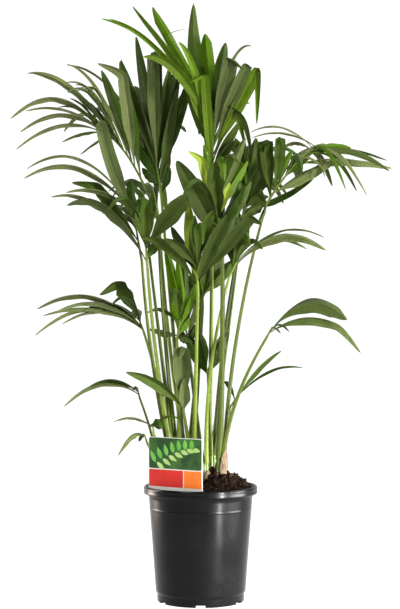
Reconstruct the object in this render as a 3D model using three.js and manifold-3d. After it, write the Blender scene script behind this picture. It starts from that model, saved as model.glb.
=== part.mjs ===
import * as THREE from 'three'
import Module from 'manifold-3d'

// A clump of young kentia palms in a black nursery pot, with its soil and a care card on a stake.
// Sizes are in millimetres. The origin is the middle of the pot's flat underside, +Z is up, and -Y
// is the front. Headings are in degrees round Z: 0 is to the right, 90 to the back, 180 to the left.

const wasm = await Module()
wasm.setup()

const DEGREE = Math.PI / 180
const GAP = 0.3

// The pot: a thin tapering wall under a rolled rim, on a narrower foot with drain notches. Its floor
// rests in the middle and on the foot, with a raised channel between them that holds the drain holes.
const POT_HEIGHT = 212
const RIM_RADIUS = 105
const RIM_BAND = 15
const RIM_THICK = 4.5
const WALL_TOP_RADIUS = 96
const WALL_BOTTOM_RADIUS = 83
const WALL_THICK = 2
const FOOT_RADIUS = 80
const FOOT_HEIGHT = 15
const FLOOR_THICK = 2.5
const CHANNEL_UNDER = 5
const CHANNEL_INNER = 48
const CHANNEL_OUTER = 68
const CHANNEL_SLOPE = 4
const CHANNEL_TOP = CHANNEL_UNDER + FLOOR_THICK
const POT_SEGMENTS = 32
const NOTCHES = 6
const NOTCH_WIDTH = 18
const DRAIN_HOLE_RADIUS = 5
const DRAIN_HOLE_RING = 60

// The soil: a filling that stays under the rim at the wall and mounds up near the middle.
const SOIL_EDGE_HEIGHT = 199
const SOIL_MOUND_HEIGHT = 237
const SOIL_MOUND_AT = [30, 12]
const SOIL_MOUND_RADIUS = 105
const SOIL_LUMP = 4.5
const SOIL_SECTORS = 20
const SOIL_RINGS = 6
const POCKET_DEPTH = 24

// The care card: a printed panel on a stake, just inside the rim at the front left.
const CARD_LEFT = [-95, -23]
const CARD_RIGHT = [3, -85]
const CARD_BOTTOM = 206
const CARD_TOP = 304
const CARD_THICK = 1.4
const STAKE_WIDTH = 16
const STAKE_TIP = 128
const STAKE_POINT = 26
const STAKE_TIP_HALF = 2
const CARD_CORNER = 4
const CARD_LAP = 12

// Stems: the short bundles of leaf bases that carry the stalks. Radii are at the foot and the top.
const STEMS = {
  left: { at: [-47, -3], foot: 14, top: 12.5, height: 262 },
  middle: { at: [-14, 9], foot: 9.5, top: 8.5, height: 266 },
  pale: { at: [7, -13], foot: 8, top: 7.4, height: 252 },
  right: { at: [38, -2], foot: 10, top: 9, height: 260 },
  back_right: { at: [20, 34], foot: 10, top: 9, height: 264 },
  back_left: { at: [-27, 38], foot: 9.5, top: 8.5, height: 264 },
  rim_left: { at: [-76, -18], foot: 7.5, top: 7, height: 256 },
}
const STEM_SIDES = 12

// Stalks are round and taper from the stem to the blade. The rib goes on from there.
const STALK_FOOT_RADIUS = 3.2
const SMALL_STALK_FOOT_RADIUS = 2.1
const SMALL_STALK_TAPER = 0.4
const STALK_INSET = 0.6
const STALK_TOP_RADIUS = 2.1
const RIB_TIP_RADIUS = 1.3
const STALK_SIDES = 5
const STALK_STEPS = 6
const RIB_STEPS = 4

// Leaflets are thin blades with a low ridge along the middle.
const LEAFLET_RIDGE = 0.25
const LEAFLET_BASE_HALF_WIDTH = 1.5
const LEAFLET_THIN = 1.7
const LEAFLET_THICK_PER_LENGTH = 0.0105
const LEAFLET_WIDEST = 0.42
const LEAFLET_STATIONS = [0, 0.18, 0.48, 0.82]
const NARROW_STATIONS = [0, 0.32, 0.75]
const NARROW = 16
const BENT_STATIONS = [0, 0.18, 0.48, 0.68, 0.82]
const KNEE = 0.68
const BEND_ROUND = 0.25
const NUDGES = [0, 5, -5, 10, -10, 15, -15, 20, -20, 27, -27, 35, -35]

// Each frond: the stem it stands on and the side of it, where its stalk ends, how far the stalk
// bows to the right of a straight line, and the heading, reach, rise and arch of its rib.
// Each leaflet: place along the rib, heading, reach, rise, arch, width and roll. One that bends
// sharply has two more: how far its tip goes on outwards past the bend, and how far it drops.
const FRONDS = {
  fan_left: {
    stem: 'left', side: 60, end: [-80, 30, 708], bow: -5, rib: [172, 108, 163, 30],
    leaflets: [
      [0.78, 174, 166, 128, 41, 22, -20],
      [0.93, 184, 178, 26, 50, 22, 20],
      [0.96, 178, 158, 2, 32, 20, 20],
      [1, 190, 160, -37, 26, 18, 15],
      [0.98, 200, 79, -22, 8, 12, 20],
      [0.88, 150, 64, -33, 4, 9, 10],
      [0.5, 165, 126, 183, 44, 20, -25],
      [0.58, 196, 116, 124, 46, 15, 5],
      [0.64, 160, 96, 124, 36, 14, 10],
      [0.7, 205, 101, 91, 44, 14, 5],
      [0.86, 168, 166, 52, 26, 15, 5],
      [0.82, 215, 97, 78, 24, 12, 0],
      [0.4, 190, 21, 166, 0, 26, 70, 51, -28],
      [0.3, 125, 75, 231, 10, 24, -35],
      [0.45, 150, 70, 181, 10, 24, -60],
      [0.55, 100, 150, 110, 45, 20, 0],
      [0.75, 110, 160, 55, 50, 20, 0],
      [0.9, 128, 150, 20, 40, 18, 0],
    ],
  },
  dark_upright: {
    stem: 'back_left', side: 215, end: [-77, 80, 775], bow: 0, rib: [170, 12, 60, 0],
    leaflets: [
      [0.2, 118, 102, 289, 5, 26, -28],
      [0.1, 150, 62, 160, 0, 38, -60],
      [0.6, 15, 22, 180, 5, 26, 70],
      [0.5, 262, 40, 210, 0, 28, 0, 35, 30],
      [0.4, 60, 60, 200, 20, 27, 30],
      [0.7, 100, 50, 180, 20, 26, 10],
      [0.15, 20, 44, 165, 10, 24, 55],
      [0.3, 27, 68, 178, 8, 26, 40],
      [0.55, 40, 54, 190, 8, 26, 20],
      [0.85, 275, 36, 195, 0, 27, 0, 35, 30],
      [0.35, 175, 50, 165, 12, 24, 60],
      [0.5, 90, 150, 110, 50, 22, 0],
      [0.7, 140, 170, 110, 50, 22, -10],
      [0.3, 70, 150, 100, 50, 22, 0],
      [0.9, 112, 130, 150, 45, 20, 0],
    ],
  },
  top_centre: {
    stem: 'back_right', side: 180, end: [21, 10, 768], bow: 2, rib: [0, 3, 135, 0],
    leaflets: [
      [1, 150, 37, 105, 0, 32, -60, 6, -102],
      [0.9, 125, 27, 164, 0, 22, -35],
      [0.84, 170, 115, 222, 6, 26, -60],
      [0.95, 186, 151, 201, 10, 18, 35],
      [0.88, 176, 210, 193, 48, 18, -35],
      [0.78, 196, 198, 192, 42, 12, 10],
      [0.72, 205, 141, 130, 42, 22, 50],
      [0.45, 215, 77, 196, 40, 28, 60],
      [0.45, 165, 50, 120, 5, 26, -70],
      [0.6, 318, 44, 145, 5, 32, -40, 30, 20],
      [0.5, 335, 68, 147, 5, 26, -50, 12, 4],
      [0.4, 348, 81, 152, 5, 28, -65, 2, 98],
      [0.95, 40, 30, 140, 5, 26, 50],
      [1, 350, 72, 120, 40, 12, -5],
      [0.55, 200, 60, 135, 8, 22, 60],
      [0.2, 340, 50, 55, 8, 13, -40],
      [0.3, 60, 150, 130, 40, 22, 10],
      [0.35, 100, 170, 110, 50, 22, 0],
      [0.6, 80, 140, 150, 40, 22, 0],
      [0.75, 100, 130, 120, 40, 20, 10],
    ],
  },
  bright_centre: {
    stem: 'right', side: 210, end: [39, -56, 645], bow: 3, rib: [190, 12, 85, 0],
    leaflets: [
      [0.1, 195, 84, 150, 6, 36, 70],
      [0.9, 190, 24, 80, 0, 22, 70, 28, -20],
      [0.5, 255, 40, 110, 10, 36, 0],
      [0.8, 285, 50, 50, 70, 26, 0],
      [0.7, 330, 26, 60, 0, 10, -60],
      [0.3, 258, 30, 20, 20, 24, 0],
      [0.8, 20, 60, 95, 5, 24, 60],
      [0.9, 300, 80, 70, 50, 22, -10],
      [0.6, 235, 110, 40, 50, 20, 0],
      [0.4, 0, 45, 80, 5, 26, 60],
      [0.3, 15, 58, 100, 8, 28, 60],
      [0.9, 30, 62, 130, 5, 24, 55],
    ],
  },
  upper_right: {
    stem: 'right', side: 25, end: [121, 0, 731], bow: -14, rib: [0, 92, 107, 12],
    leaflets: [
      [0.08, 250, 18, 104, 0, 38, 0, 22, 25],
      [0.18, 290, 18, 95, 0, 26, 0, 18, 20],
      [0.85, 350, 79, 6, 8, 22, 55],
      [0.6, 8, 184, -6, 16, 22, 45],
      [0.75, 345, 160, -32, 18, 16, 40],
      [0.14, 350, 118, 60, 4, 28, 60],
      [0.35, 20, 60, 60, 10, 20, 50],
      [0.24, 40, 39, 70, 8, 14, 60],
      [0.95, 165, 120, 33, 25, 10, 10],
      [1, 190, 122, 13, 18, 10, 10],
      [0.9, 310, 90, -80, 35, 12, 10],
      [0.8, 325, 128, -83, 40, 12, 10],
      [0.7, 330, 95, -35, 25, 10, 10],
      [0.6, 320, 70, -25, 20, 10, 10],
      [0.4, 75, 150, -10, 34, 22, 0],
      [0.6, 60, 160, -30, 50, 20, 0],
      [0.8, 45, 150, -60, 40, 18, 5],
      [0.5, 275, 130, -20, 32, 20, 0],
    ],
  },
  mid_left: {
    stem: 'left', side: 245, end: [-97, -60, 622], bow: -6, rib: [180, 3, 40, 0],
    leaflets: [
      [0.3, 182, 144, 90, 39, 30, 35],
      [0.5, 262, 24, 92, 0, 38, 0, 40, 30],
      [0.6, 340, 79, 98, 23, 30, -50],
      [0.2, 10, 30, 31, 3, 12, 60],
      [0.8, 60, 20, 100, 5, 20, 0],
      [0.9, 235, 110, 50, 50, 24, 0],
    ],
  },
  front_centre: {
    stem: 'middle', side: 290, end: [-5, -70, 572], bow: 0, rib: [180, 2, 50, 0],
    leaflets: [
      [0.15, 190, 103, 84, 28, 26, 40],
      [0.5, 250, 15, 108, 4, 25, 0],
      [0.3, 345, 96, 112, 4, 32, -60, 22, 12],
      [0.25, 330, 60, 120, 5, 26, -60],
      [0.2, 140, 22, 150, 0, 17, 0],
      [0.8, 215, 70, 50, 10, 22, 40],
      [0.9, 310, 45, 95, 20, 26, -20],
      [0.7, 275, 110, 40, 60, 24, 0],
    ],
  },
  inner_left: {
    stem: 'left', side: 340, end: [-44, 12, 481], bow: 0, rib: [0, 6, 37, 0],
    leaflets: [
      [0.4, 120, 15, 80, 5, 18, 0],
      [0.5, 5, 36, 91, 5, 18, 60],
      [0.2, 160, 72, 12, 3, 24, 40],
      [0.6, 60, 30, 60, 5, 20, 0],
      [0.8, 135, 90, 20, 18, 20, 0],
      [0.9, 262, 90, 30, 45, 20, 0],
    ],
  },
  inner_back: {
    stem: 'pale', side: 180, end: [-24, 42, 470], bow: 0, rib: [170, 4, 36, 0],
    leaflets: [
      [0.6, 165, 42, 168, 5, 24, -60],
      [0.5, 150, 20, 150, 5, 20, -30],
      [0.7, 100, 30, 145, 5, 24, 0],
      [0.4, 30, 25, 85, 5, 20, 20],
      [0.8, 66, 120, 70, 40, 20, 0],
      [0.9, 88, 110, 90, 40, 20, 0],
    ],
  },
  mid_right: {
    stem: 'pale', side: 0, end: [52, -20, 596], bow: -13, rib: [0, 15, 30, 0],
    leaflets: [
      [0.8, 352, 166, 24, 35, 26, 45],
      [0.6, 10, 139, 34, 35, 16, 35],
      [1, 340, 166, 39, 34, 12, 10],
      [0.5, 110, 30, 95, 10, 26, 0],
      [0.7, 60, 50, 90, 5, 26, 20],
      [0.4, 265, 80, 40, 50, 24, 0],
      [0.9, 300, 90, 20, 30, 22, 5],
    ],
  },
  low_left: {
    stem: 'left', side: 145, end: [-105, -8, 496], bow: 6, rib: [180, 8, 22, 0],
    leaflets: [
      [0.6, 186, 77, 54, 43, 30, 45],
      [0.5, 176, 196, 30, 38, 20, 30],
      [0.4, 196, 162, 26, 31, 18, 30],
      [0.9, 160, 96, 22, 20, 22, 25],
      [0.4, 186, 182, 20, 24, 16, 25],
      [0.3, 181, 199, -15, 45, 16, 25],
      [0.7, 100, 120, 0, 28, 20, 0],
      [0.8, 245, 110, 30, 45, 22, 0],
    ],
  },
  small_left: {
    small: true, stem: 'rim_left', side: 130, end: [-112, -4, 372], bow: 3, rib: [180, 4, 16, 0],
    leaflets: [
      [0.8, 184, 93, 8, 17, 16, 35],
      [0.5, 176, 141, -24, 22, 14, 30],
      [0.9, 110, 30, 0, 8, 12, 0],
    ],
  },
  shoot_left: {
    small: true, stem: 'rim_left', side: 20, end: [-86, -22, 312], bow: 0, rib: [180, 2, 14, 0],
    leaflets: [
      [0.6, 182, 72, 10, 13, 11, 20],
      [0.8, 300, 28, -5, 16, 26, 20],
      [0.9, 5, 56, 10, 12, 9, 20],
    ],
  },
  shoot_rim: {
    small: true, stem: 'rim_left', side: 190, end: [-99, -12, 292], bow: 0, rib: [180, 4, 14, 0],
    leaflets: [
      [0.8, 182, 50, -36, 18, 18, 25],
      [0.9, 110, 36, -14, 8, 12, 0],
    ],
  },
  low_centre: {
    stem: 'middle', side: 180, end: [-31, -15, 348], bow: 0, rib: [180, 2, 20, 0],
    leaflets: [
      [0.4, 186, 122, 68, 14, 24, 45],
      [0.6, 262, 20, 108, 0, 36, 0, 25, 20],
      [0.8, 80, 90, 50, 30, 20, 0],
    ],
  },
  inner_right: {
    stem: 'back_right', side: 265, end: [14, 4, 409], bow: 0, rib: [180, 3, 22, 0],
    leaflets: [
      [0.4, 140, 25, 90, 5, 22, 0],
      [0.3, 175, 35, 60, 5, 26, -60],
      [0.6, 30, 50, 75, 20, 20, 30],
      [0.7, 92, 35, 70, 10, 22, 0],
      [0.8, 130, 100, 50, 30, 20, 0],
    ],
  },
  low_right: {
    stem: 'right', side: 300, end: [120, -20, 484], bow: -14, rib: [0, 11, 20, 0],
    leaflets: [
      [0.7, 350, 141, 20, 37, 30, 50],
      [0.5, 5, 171, -38, 43, 24, 40],
      [0.9, 75, 80, -10, 10, 18, 0],
      [0.6, 290, 90, 0, 40, 18, 10],
    ],
  },
  small_right: {
    small: true, stem: 'right', side: 100, end: [55, 20, 355], bow: 0, rib: [0, 15, 22, 0],
    leaflets: [
      [0.8, 350, 84, 88, 12, 14, -40],
      [1, 8, 124, 50, 22, 10, 25],
      [0.6, 115, 50, 30, 15, 14, 0],
    ],
  },
  behind_right: {
    stem: 'back_right', side: 350, end: [84, 60, 720], bow: -9, rib: [0, 8, 91, 0],
    leaflets: [
      [1, 195, 60, 147, 45, 18, 40],
      [0.1, 335, 56, 91, 8, 38, -65],
      [0.08, 350, 130, 58, -6, 22, 45],
      [0.5, 160, 35, 50, 5, 26, 0],
      [0.4, 110, 40, 70, 10, 26, 0],
      [0.6, 70, 160, 40, 40, 22, 0],
      [0.8, 110, 150, 45, 40, 22, 0],
      [0.9, 40, 150, 20, 40, 20, 10],
      [0.7, 88, 130, 60, 38, 20, 0],
      [0.1, 345, 45, 20, 8, 18, -60],
    ],
  },
  behind_left: {
    stem: 'left', side: 195, end: [-107, -35, 623], bow: -7, rib: [180, 17, 96, 0],
    leaflets: [
      [0.95, 186, 199, 59, 48, 22, 20],
      [1, 172, 200, 76, 55, 16, 8],
      [0.98, 205, 130, 28, 20, 18, 20],
      [1, 210, 72, 140, -6, 27, 70],
      [0.4, 184, 122, 106, 28, 28, 50],
      [0.3, 192, 162, 87, 36, 18, 20],
      [0.6, 110, 130, 20, 25, 22, 0],
      [0.8, 120, 110, 10, 24, 20, 5],
    ],
  },
  behind_far_left: {
    stem: 'left', side: 105, end: [-95, 26, 633], bow: 0, rib: [180, 4, 30, 0],
    leaflets: [
      [0.5, 350, 32, 12, 4, 16, 50],
      [0.7, 30, 60, 60, 25, 18, 20],
      [0.6, 100, 120, 60, 40, 20, 0],
      [0.9, 150, 110, 60, 40, 20, 0],
    ],
  },
  behind_centre: {
    stem: 'middle', side: 90, end: [4, 60, 542], bow: 0, rib: [90, 3, 30, 0],
    leaflets: [
      [0.3, 120, 30, 110, 5, 30, -30],
      [0.5, 50, 60, 120, 5, 34, 40],
      [0.6, 175, 56, 50, 5, 28, -70],
      [0.7, 15, 66, 70, 5, 30, 65],
    ],
  },
  back_left: {
    stem: 'back_left', side: 100, end: [-78, 140, 670], bow: -6, rib: [100, 90, 90, 25],
    leaflets: [
      [0.2, 150, 120, 70, 45, 22, -10],
      [0.4, 130, 150, 40, 50, 22, 0],
      [0.6, 120, 160, 0, 50, 22, 0],
      [0.8, 105, 170, -20, 50, 20, 0],
      [1, 92, 170, -30, 45, 20, 0],
      [0.9, 82, 150, -20, 45, 20, 0],
      [0.5, 95, 100, 80, 40, 20, 0],
    ],
  },
  back_right: {
    stem: 'back_right', side: 80, end: [78, 130, 690], bow: 0, rib: [75, 90, 90, 25],
    leaflets: [
      [0.2, 40, 100, 40, 40, 22, 10],
      [0.4, 50, 140, 20, 45, 22, 0],
      [0.6, 60, 160, -10, 45, 22, 0],
      [0.8, 80, 170, -20, 50, 20, 0],
      [1, 95, 170, -30, 45, 20, 0],
      [0.9, 110, 150, 0, 50, 20, 0],
      [0.5, 100, 100, 80, 40, 20, 0],
    ],
  },
  back_top: {
    stem: 'back_left', side: 345, end: [10, 140, 790], bow: 6, rib: [88, 70, 80, 15],
    leaflets: [
      [0.3, 50, 120, 90, 45, 20, 0],
      [0.4, 88, 120, 80, 45, 20, 0],
      [0.6, 75, 150, 60, 50, 20, 0],
      [0.8, 96, 150, 40, 50, 20, 0],
      [1, 90, 160, 0, 50, 20, 0],
    ],
  },
}

const MATERIALS = {
  pot: { color: 0x1f1f21, roughness: 0.45 },
  soil: { color: 0x2a1b14, roughness: 1 },
  card: { color: 0xd9d6c8, roughness: 0.5 },
  stem: { color: 0x5b6b2c, roughness: 0.7 },
  stalk: { color: 0x6f8c34, roughness: 0.6 },
  leaf: { color: 0x3f5f22, roughness: 0.55 },
}

const group = new THREE.Group()

// Solids.

function meshToSolid(positions, indices) {
  const mesh = new wasm.Mesh({
    numProp: 3,
    vertProperties: new Float32Array(positions),
    triVerts: new Uint32Array(indices),
  })
  return new wasm.Manifold(mesh)
}

function largestPiece(solid) {
  let best = null
  let bestVolume = 0
  for (const piece of solid.decompose()) {
    if (piece.volume() > bestVolume) {
      best = piece
      bestVolume = piece.volume()
    }
  }
  return best
}

function addNode(name, slot, solid) {
  const mesh = solid.getMesh()
  const geometry = new THREE.BufferGeometry()
  const count = mesh.vertProperties.length / mesh.numProp
  const positions = new Float32Array(count * 3)
  for (let i = 0; i < count; i++) {
    positions[3 * i] = mesh.vertProperties[mesh.numProp * i]
    positions[3 * i + 1] = mesh.vertProperties[mesh.numProp * i + 1]
    positions[3 * i + 2] = mesh.vertProperties[mesh.numProp * i + 2]
  }
  geometry.setAttribute('position', new THREE.BufferAttribute(positions, 3))
  geometry.setIndex(new THREE.BufferAttribute(new Uint32Array(mesh.triVerts), 1))
  const material = new THREE.MeshStandardMaterial(MATERIALS[slot])
  const node = new THREE.Mesh(geometry, material)
  node.name = name
  group.add(node)
}

// Joins rings of points, all with the same count, into one closed solid. A ring of one point is a tip.
function loft(rings) {
  const positions = []
  const starts = []
  for (const ring of rings) {
    starts.push(positions.length / 3)
    for (const point of ring) positions.push(point.x, point.y, point.z)
  }
  const indices = []
  const sides = rings[0].length
  for (let i = 2; i < sides; i++) indices.push(starts[0], starts[0] + i, starts[0] + i - 1)
  for (let r = 0; r + 1 < rings.length; r++) {
    const a = starts[r]
    const b = starts[r + 1]
    for (let i = 0; i < sides; i++) {
      const j = (i + 1) % sides
      if (rings[r + 1].length === 1) {
        indices.push(a + i, a + j, b)
      } else {
        indices.push(a + i, a + j, b + j, a + i, b + j, b + i)
      }
    }
  }
  const last = rings[rings.length - 1]
  const end = starts[rings.length - 1]
  for (let i = 2; i < last.length; i++) indices.push(end, end + i - 1, end + i)
  return meshToSolid(positions, indices)
}

function revolve(profile, segments) {
  const lathe = new THREE.LatheGeometry(profile.map(([r, z]) => new THREE.Vector2(r, z)), segments)
  lathe.rotateX(Math.PI / 2)
  return weld(lathe)
}

// Merges the points of a geometry that lie together and returns it as a solid.
function weld(geometry) {
  const source = geometry.attributes.position
  const found = new Map()
  const positions = []
  const remap = []
  for (let i = 0; i < source.count; i++) {
    const point = [source.getX(i), source.getY(i), source.getZ(i)]
    const key = point.map((v) => Math.round(v * 1000)).join()
    if (!found.has(key)) {
      found.set(key, positions.length / 3)
      positions.push(...point)
    }
    remap.push(found.get(key))
  }
  const corners = geometry.index ? Array.from(geometry.index.array) : remap.map((_, i) => i)
  const indices = []
  for (let i = 0; i < corners.length; i += 3) {
    const [a, b, c] = [remap[corners[i]], remap[corners[i + 1]], remap[corners[i + 2]]]
    if (a !== b && b !== c && a !== c) indices.push(a, b, c)
  }
  const solid = meshToSolid(positions, indices)
  if (solid.volume() > 0) return solid
  for (let i = 0; i < indices.length; i += 3) {
    [indices[i], indices[i + 1]] = [indices[i + 1], indices[i]]
  }
  return meshToSolid(positions, indices)
}

function upright(shape, x, y, z) {
  shape.rotateX(Math.PI / 2)
  shape.translate(x, y, z)
  return weld(shape)
}

function cylinder(radiusTop, radiusBottom, bottom, top, x, y, sides) {
  const shape = new THREE.CylinderGeometry(radiusTop, radiusBottom, top - bottom, sides)
  return upright(shape, x, y, (top + bottom) / 2)
}

// Curves.

function heading(degrees) {
  return new THREE.Vector3(Math.cos(degrees * DEGREE), Math.sin(degrees * DEGREE), 0)
}

// A rise from a start point in the upright plane of a heading, bulging upwards by the arch.
function archedPoint(start, direction, reach, rise, arch, t) {
  const point = start.clone().addScaledVector(direction, reach * t)
  point.z += rise * t + 4 * arch * t * (1 - t)
  return point
}

function archedTangent(direction, reach, rise, arch, t) {
  const tangent = direction.clone().multiplyScalar(reach)
  tangent.z += rise + 4 * arch * (1 - 2 * t)
  return tangent.normalize()
}

function leafletPoint(leaflet, t) {
  const { start, direction, reach, rise, arch, out, drop } = leaflet
  if (!leaflet.bent) return archedPoint(start, direction, reach, rise, arch, t)
  if (t <= KNEE) return archedPoint(start, direction, reach, rise, arch, t / KNEE)
  const knee = archedPoint(start, direction, reach, rise, arch, 1)
  const onward = archedTangent(direction, reach, rise, arch, 1)
  const u = (t - KNEE) / (1 - KNEE)
  const control = knee.clone().addScaledVector(onward, Math.hypot(out, drop) * BEND_ROUND)
  const end = knee.clone().addScaledVector(direction, out)
  end.z -= drop
  const point = knee.multiplyScalar((1 - u) * (1 - u))
  point.addScaledVector(control, 2 * u * (1 - u))
  return point.addScaledVector(end, u * u)
}

function leafletLength(leaflet) {
  let length = 0
  let last = leafletPoint(leaflet, 0)
  for (let i = 1; i <= 12; i++) {
    const next = leafletPoint(leaflet, i / 12)
    length += next.distanceTo(last)
    last = next
  }
  return length
}

// Half the width of a leaflet: it widens fast from its base and narrows slowly to a point.
function leafletHalfWidth(leaflet, t) {
  if (t < LEAFLET_WIDEST) {
    const swell = Math.sin((Math.PI / 2) * (t / LEAFLET_WIDEST)) ** 2
    return LEAFLET_BASE_HALF_WIDTH + (leaflet.width / 2 - LEAFLET_BASE_HALF_WIDTH) * swell
  }
  const onward = (t - LEAFLET_WIDEST) / (1 - LEAFLET_WIDEST)
  return (leaflet.width / 2) * Math.cos((Math.PI / 2) * onward) ** 0.55
}

function leafletSolid(leaflet) {
  const plain = leaflet.width > NARROW ? LEAFLET_STATIONS : NARROW_STATIONS
  const stations = leaflet.bent ? BENT_STATIONS : plain
  const length = leafletLength(leaflet)
  const least = Math.max(LEAFLET_THIN, length * LEAFLET_THICK_PER_LENGTH)
  const across = new THREE.Vector3(-leaflet.direction.y, leaflet.direction.x, 0)
  const rings = []
  for (const t of stations) {
    const middle = leafletPoint(leaflet, t)
    const ahead = leafletPoint(leaflet, Math.min(1, t + 0.01))
    const tangent = ahead.sub(leafletPoint(leaflet, Math.max(0, t - 0.01))).normalize()
    const side = across.clone().applyAxisAngle(tangent, leaflet.roll * DEGREE)
    const up = tangent.clone().cross(side)
    const half = leafletHalfWidth(leaflet, t)
    const thick = Math.max(least, half * LEAFLET_RIDGE)
    rings.push([
      middle.clone().addScaledVector(side, half).addScaledVector(up, -thick / 2),
      middle.clone().addScaledVector(up, thick / 2),
      middle.clone().addScaledVector(side, -half).addScaledVector(up, -thick / 2),
    ])
  }
  rings.push([leafletPoint(leaflet, 1)])
  return loft(rings)
}

// A round limb through points, tapering evenly. The first and last rings may be given a direction.
function limb(points, radiusStart, radiusEnd, startDirection) {
  const rings = []
  let reference = new THREE.Vector3(0, 1, 0)
  for (let i = 0; i < points.length; i++) {
    const before = points[Math.max(0, i - 1)]
    const after = points[Math.min(points.length - 1, i + 1)]
    let tangent = after.clone().sub(before).normalize()
    if (i === 0 && startDirection) tangent = startDirection
    const sideways = reference.clone().cross(tangent).normalize()
    reference = tangent.clone().cross(sideways)
    const radius = radiusStart + (radiusEnd - radiusStart) * (i / (points.length - 1))
    const ring = []
    for (let k = 0; k < STALK_SIDES; k++) {
      const angle = (2 * Math.PI * k) / STALK_SIDES
      const point = points[i].clone().addScaledVector(sideways, radius * Math.cos(angle))
      ring.push(point.addScaledVector(reference, radius * Math.sin(angle)))
    }
    rings.push(ring)
  }
  return loft(rings)
}

function footRadius(frond) {
  return frond.small ? SMALL_STALK_FOOT_RADIUS : STALK_FOOT_RADIUS
}

function topRadius(frond) {
  return Math.min(STALK_TOP_RADIUS, footRadius(frond) - SMALL_STALK_TAPER)
}

function stalkPoints(frond) {
  const stem = STEMS[frond.stem]
  const foot = new THREE.Vector3(stem.at[0], stem.at[1], stem.height + GAP)
  const room = Math.max(0, stem.top - footRadius(frond) - STALK_INSET)
  foot.addScaledVector(heading(frond.side), room)
  const end = new THREE.Vector3(...frond.end)
  const points = []
  for (let i = 0; i <= STALK_STEPS; i++) {
    const t = i / STALK_STEPS
    const point = foot.clone().lerp(end, t)
    point.x += 4 * frond.bow * t * (1 - t)
    points.push(point)
  }
  return points
}

// The pot.

function buildPot() {
  const bandUnder = POT_HEIGHT - RIM_BAND
  const profile = [
    [0, 0],
    [CHANNEL_INNER, 0],
    [CHANNEL_INNER + CHANNEL_SLOPE, CHANNEL_UNDER],
    [CHANNEL_OUTER, CHANNEL_UNDER],
    [CHANNEL_OUTER, 0],
    [FOOT_RADIUS, 0],
    [FOOT_RADIUS + 0.5, FOOT_HEIGHT],
    [WALL_BOTTOM_RADIUS, FOOT_HEIGHT + 4],
    [WALL_TOP_RADIUS, bandUnder],
    [RIM_RADIUS - 2.5, bandUnder],
    [RIM_RADIUS, bandUnder + 2],
    [RIM_RADIUS, POT_HEIGHT - 3],
    [RIM_RADIUS - 1.5, POT_HEIGHT],
    [RIM_RADIUS - RIM_THICK + 1, POT_HEIGHT],
    [RIM_RADIUS - RIM_THICK, POT_HEIGHT - 2],
    [WALL_TOP_RADIUS - WALL_THICK + 3, bandUnder + 4],
    [WALL_TOP_RADIUS - WALL_THICK, bandUnder],
    [WALL_BOTTOM_RADIUS - WALL_THICK, FOOT_HEIGHT + 4],
    [FOOT_RADIUS - WALL_THICK, FOOT_HEIGHT],
    [FOOT_RADIUS - WALL_THICK, CHANNEL_TOP],
    [CHANNEL_INNER + 3, CHANNEL_TOP],
    [CHANNEL_INNER - 1, FLOOR_THICK],
    [0, FLOOR_THICK],
  ]
  let pot = revolve(profile, POT_SEGMENTS)
  for (let i = 0; i < NOTCHES; i++) {
    const turn = 270 + (360 * i) / NOTCHES
    const middle = heading(turn).multiplyScalar((CHANNEL_OUTER + FOOT_RADIUS) / 2)
    const box = new THREE.BoxGeometry(FOOT_RADIUS - CHANNEL_OUTER + 8, NOTCH_WIDTH, 2 * CHANNEL_UNDER)
    box.rotateZ(turn * DEGREE)
    box.translate(middle.x, middle.y, 0)
    pot = pot.subtract(weld(box))
    const hole = heading(turn).multiplyScalar(DRAIN_HOLE_RING)
    pot = pot.subtract(
      cylinder(DRAIN_HOLE_RADIUS, DRAIN_HOLE_RADIUS, 0, CHANNEL_TOP + 4, hole.x, hole.y, 8))
  }
  return largestPiece(pot)
}

// The soil, with a fixed run of lumps over its top.

function lump(x, y) {
  const coarse = Math.sin(x * 0.11 + 1.3) * Math.cos(y * 0.13 - 0.4)
  const fine = Math.sin(x * 0.31 + y * 0.17) * Math.sin(y * 0.29 - x * 0.12 + 2)
  return SOIL_LUMP * (0.6 * coarse + 0.5 * fine)
}

function soilRadius(z) {
  const rise = (z - FOOT_HEIGHT - 4) / (POT_HEIGHT - RIM_BAND - FOOT_HEIGHT - 4)
  const wall = WALL_BOTTOM_RADIUS + (WALL_TOP_RADIUS - WALL_BOTTOM_RADIUS) * rise
  return wall - WALL_THICK - 0.5
}

function soilHeight(x, y) {
  const share = Math.min(1, Math.hypot(x - SOIL_MOUND_AT[0], y - SOIL_MOUND_AT[1]) / SOIL_MOUND_RADIUS)
  const fall = 0.5 + 0.5 * Math.cos(Math.PI * share)
  return SOIL_EDGE_HEIGHT + (SOIL_MOUND_HEIGHT - SOIL_EDGE_HEIGHT) * fall
}

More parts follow.
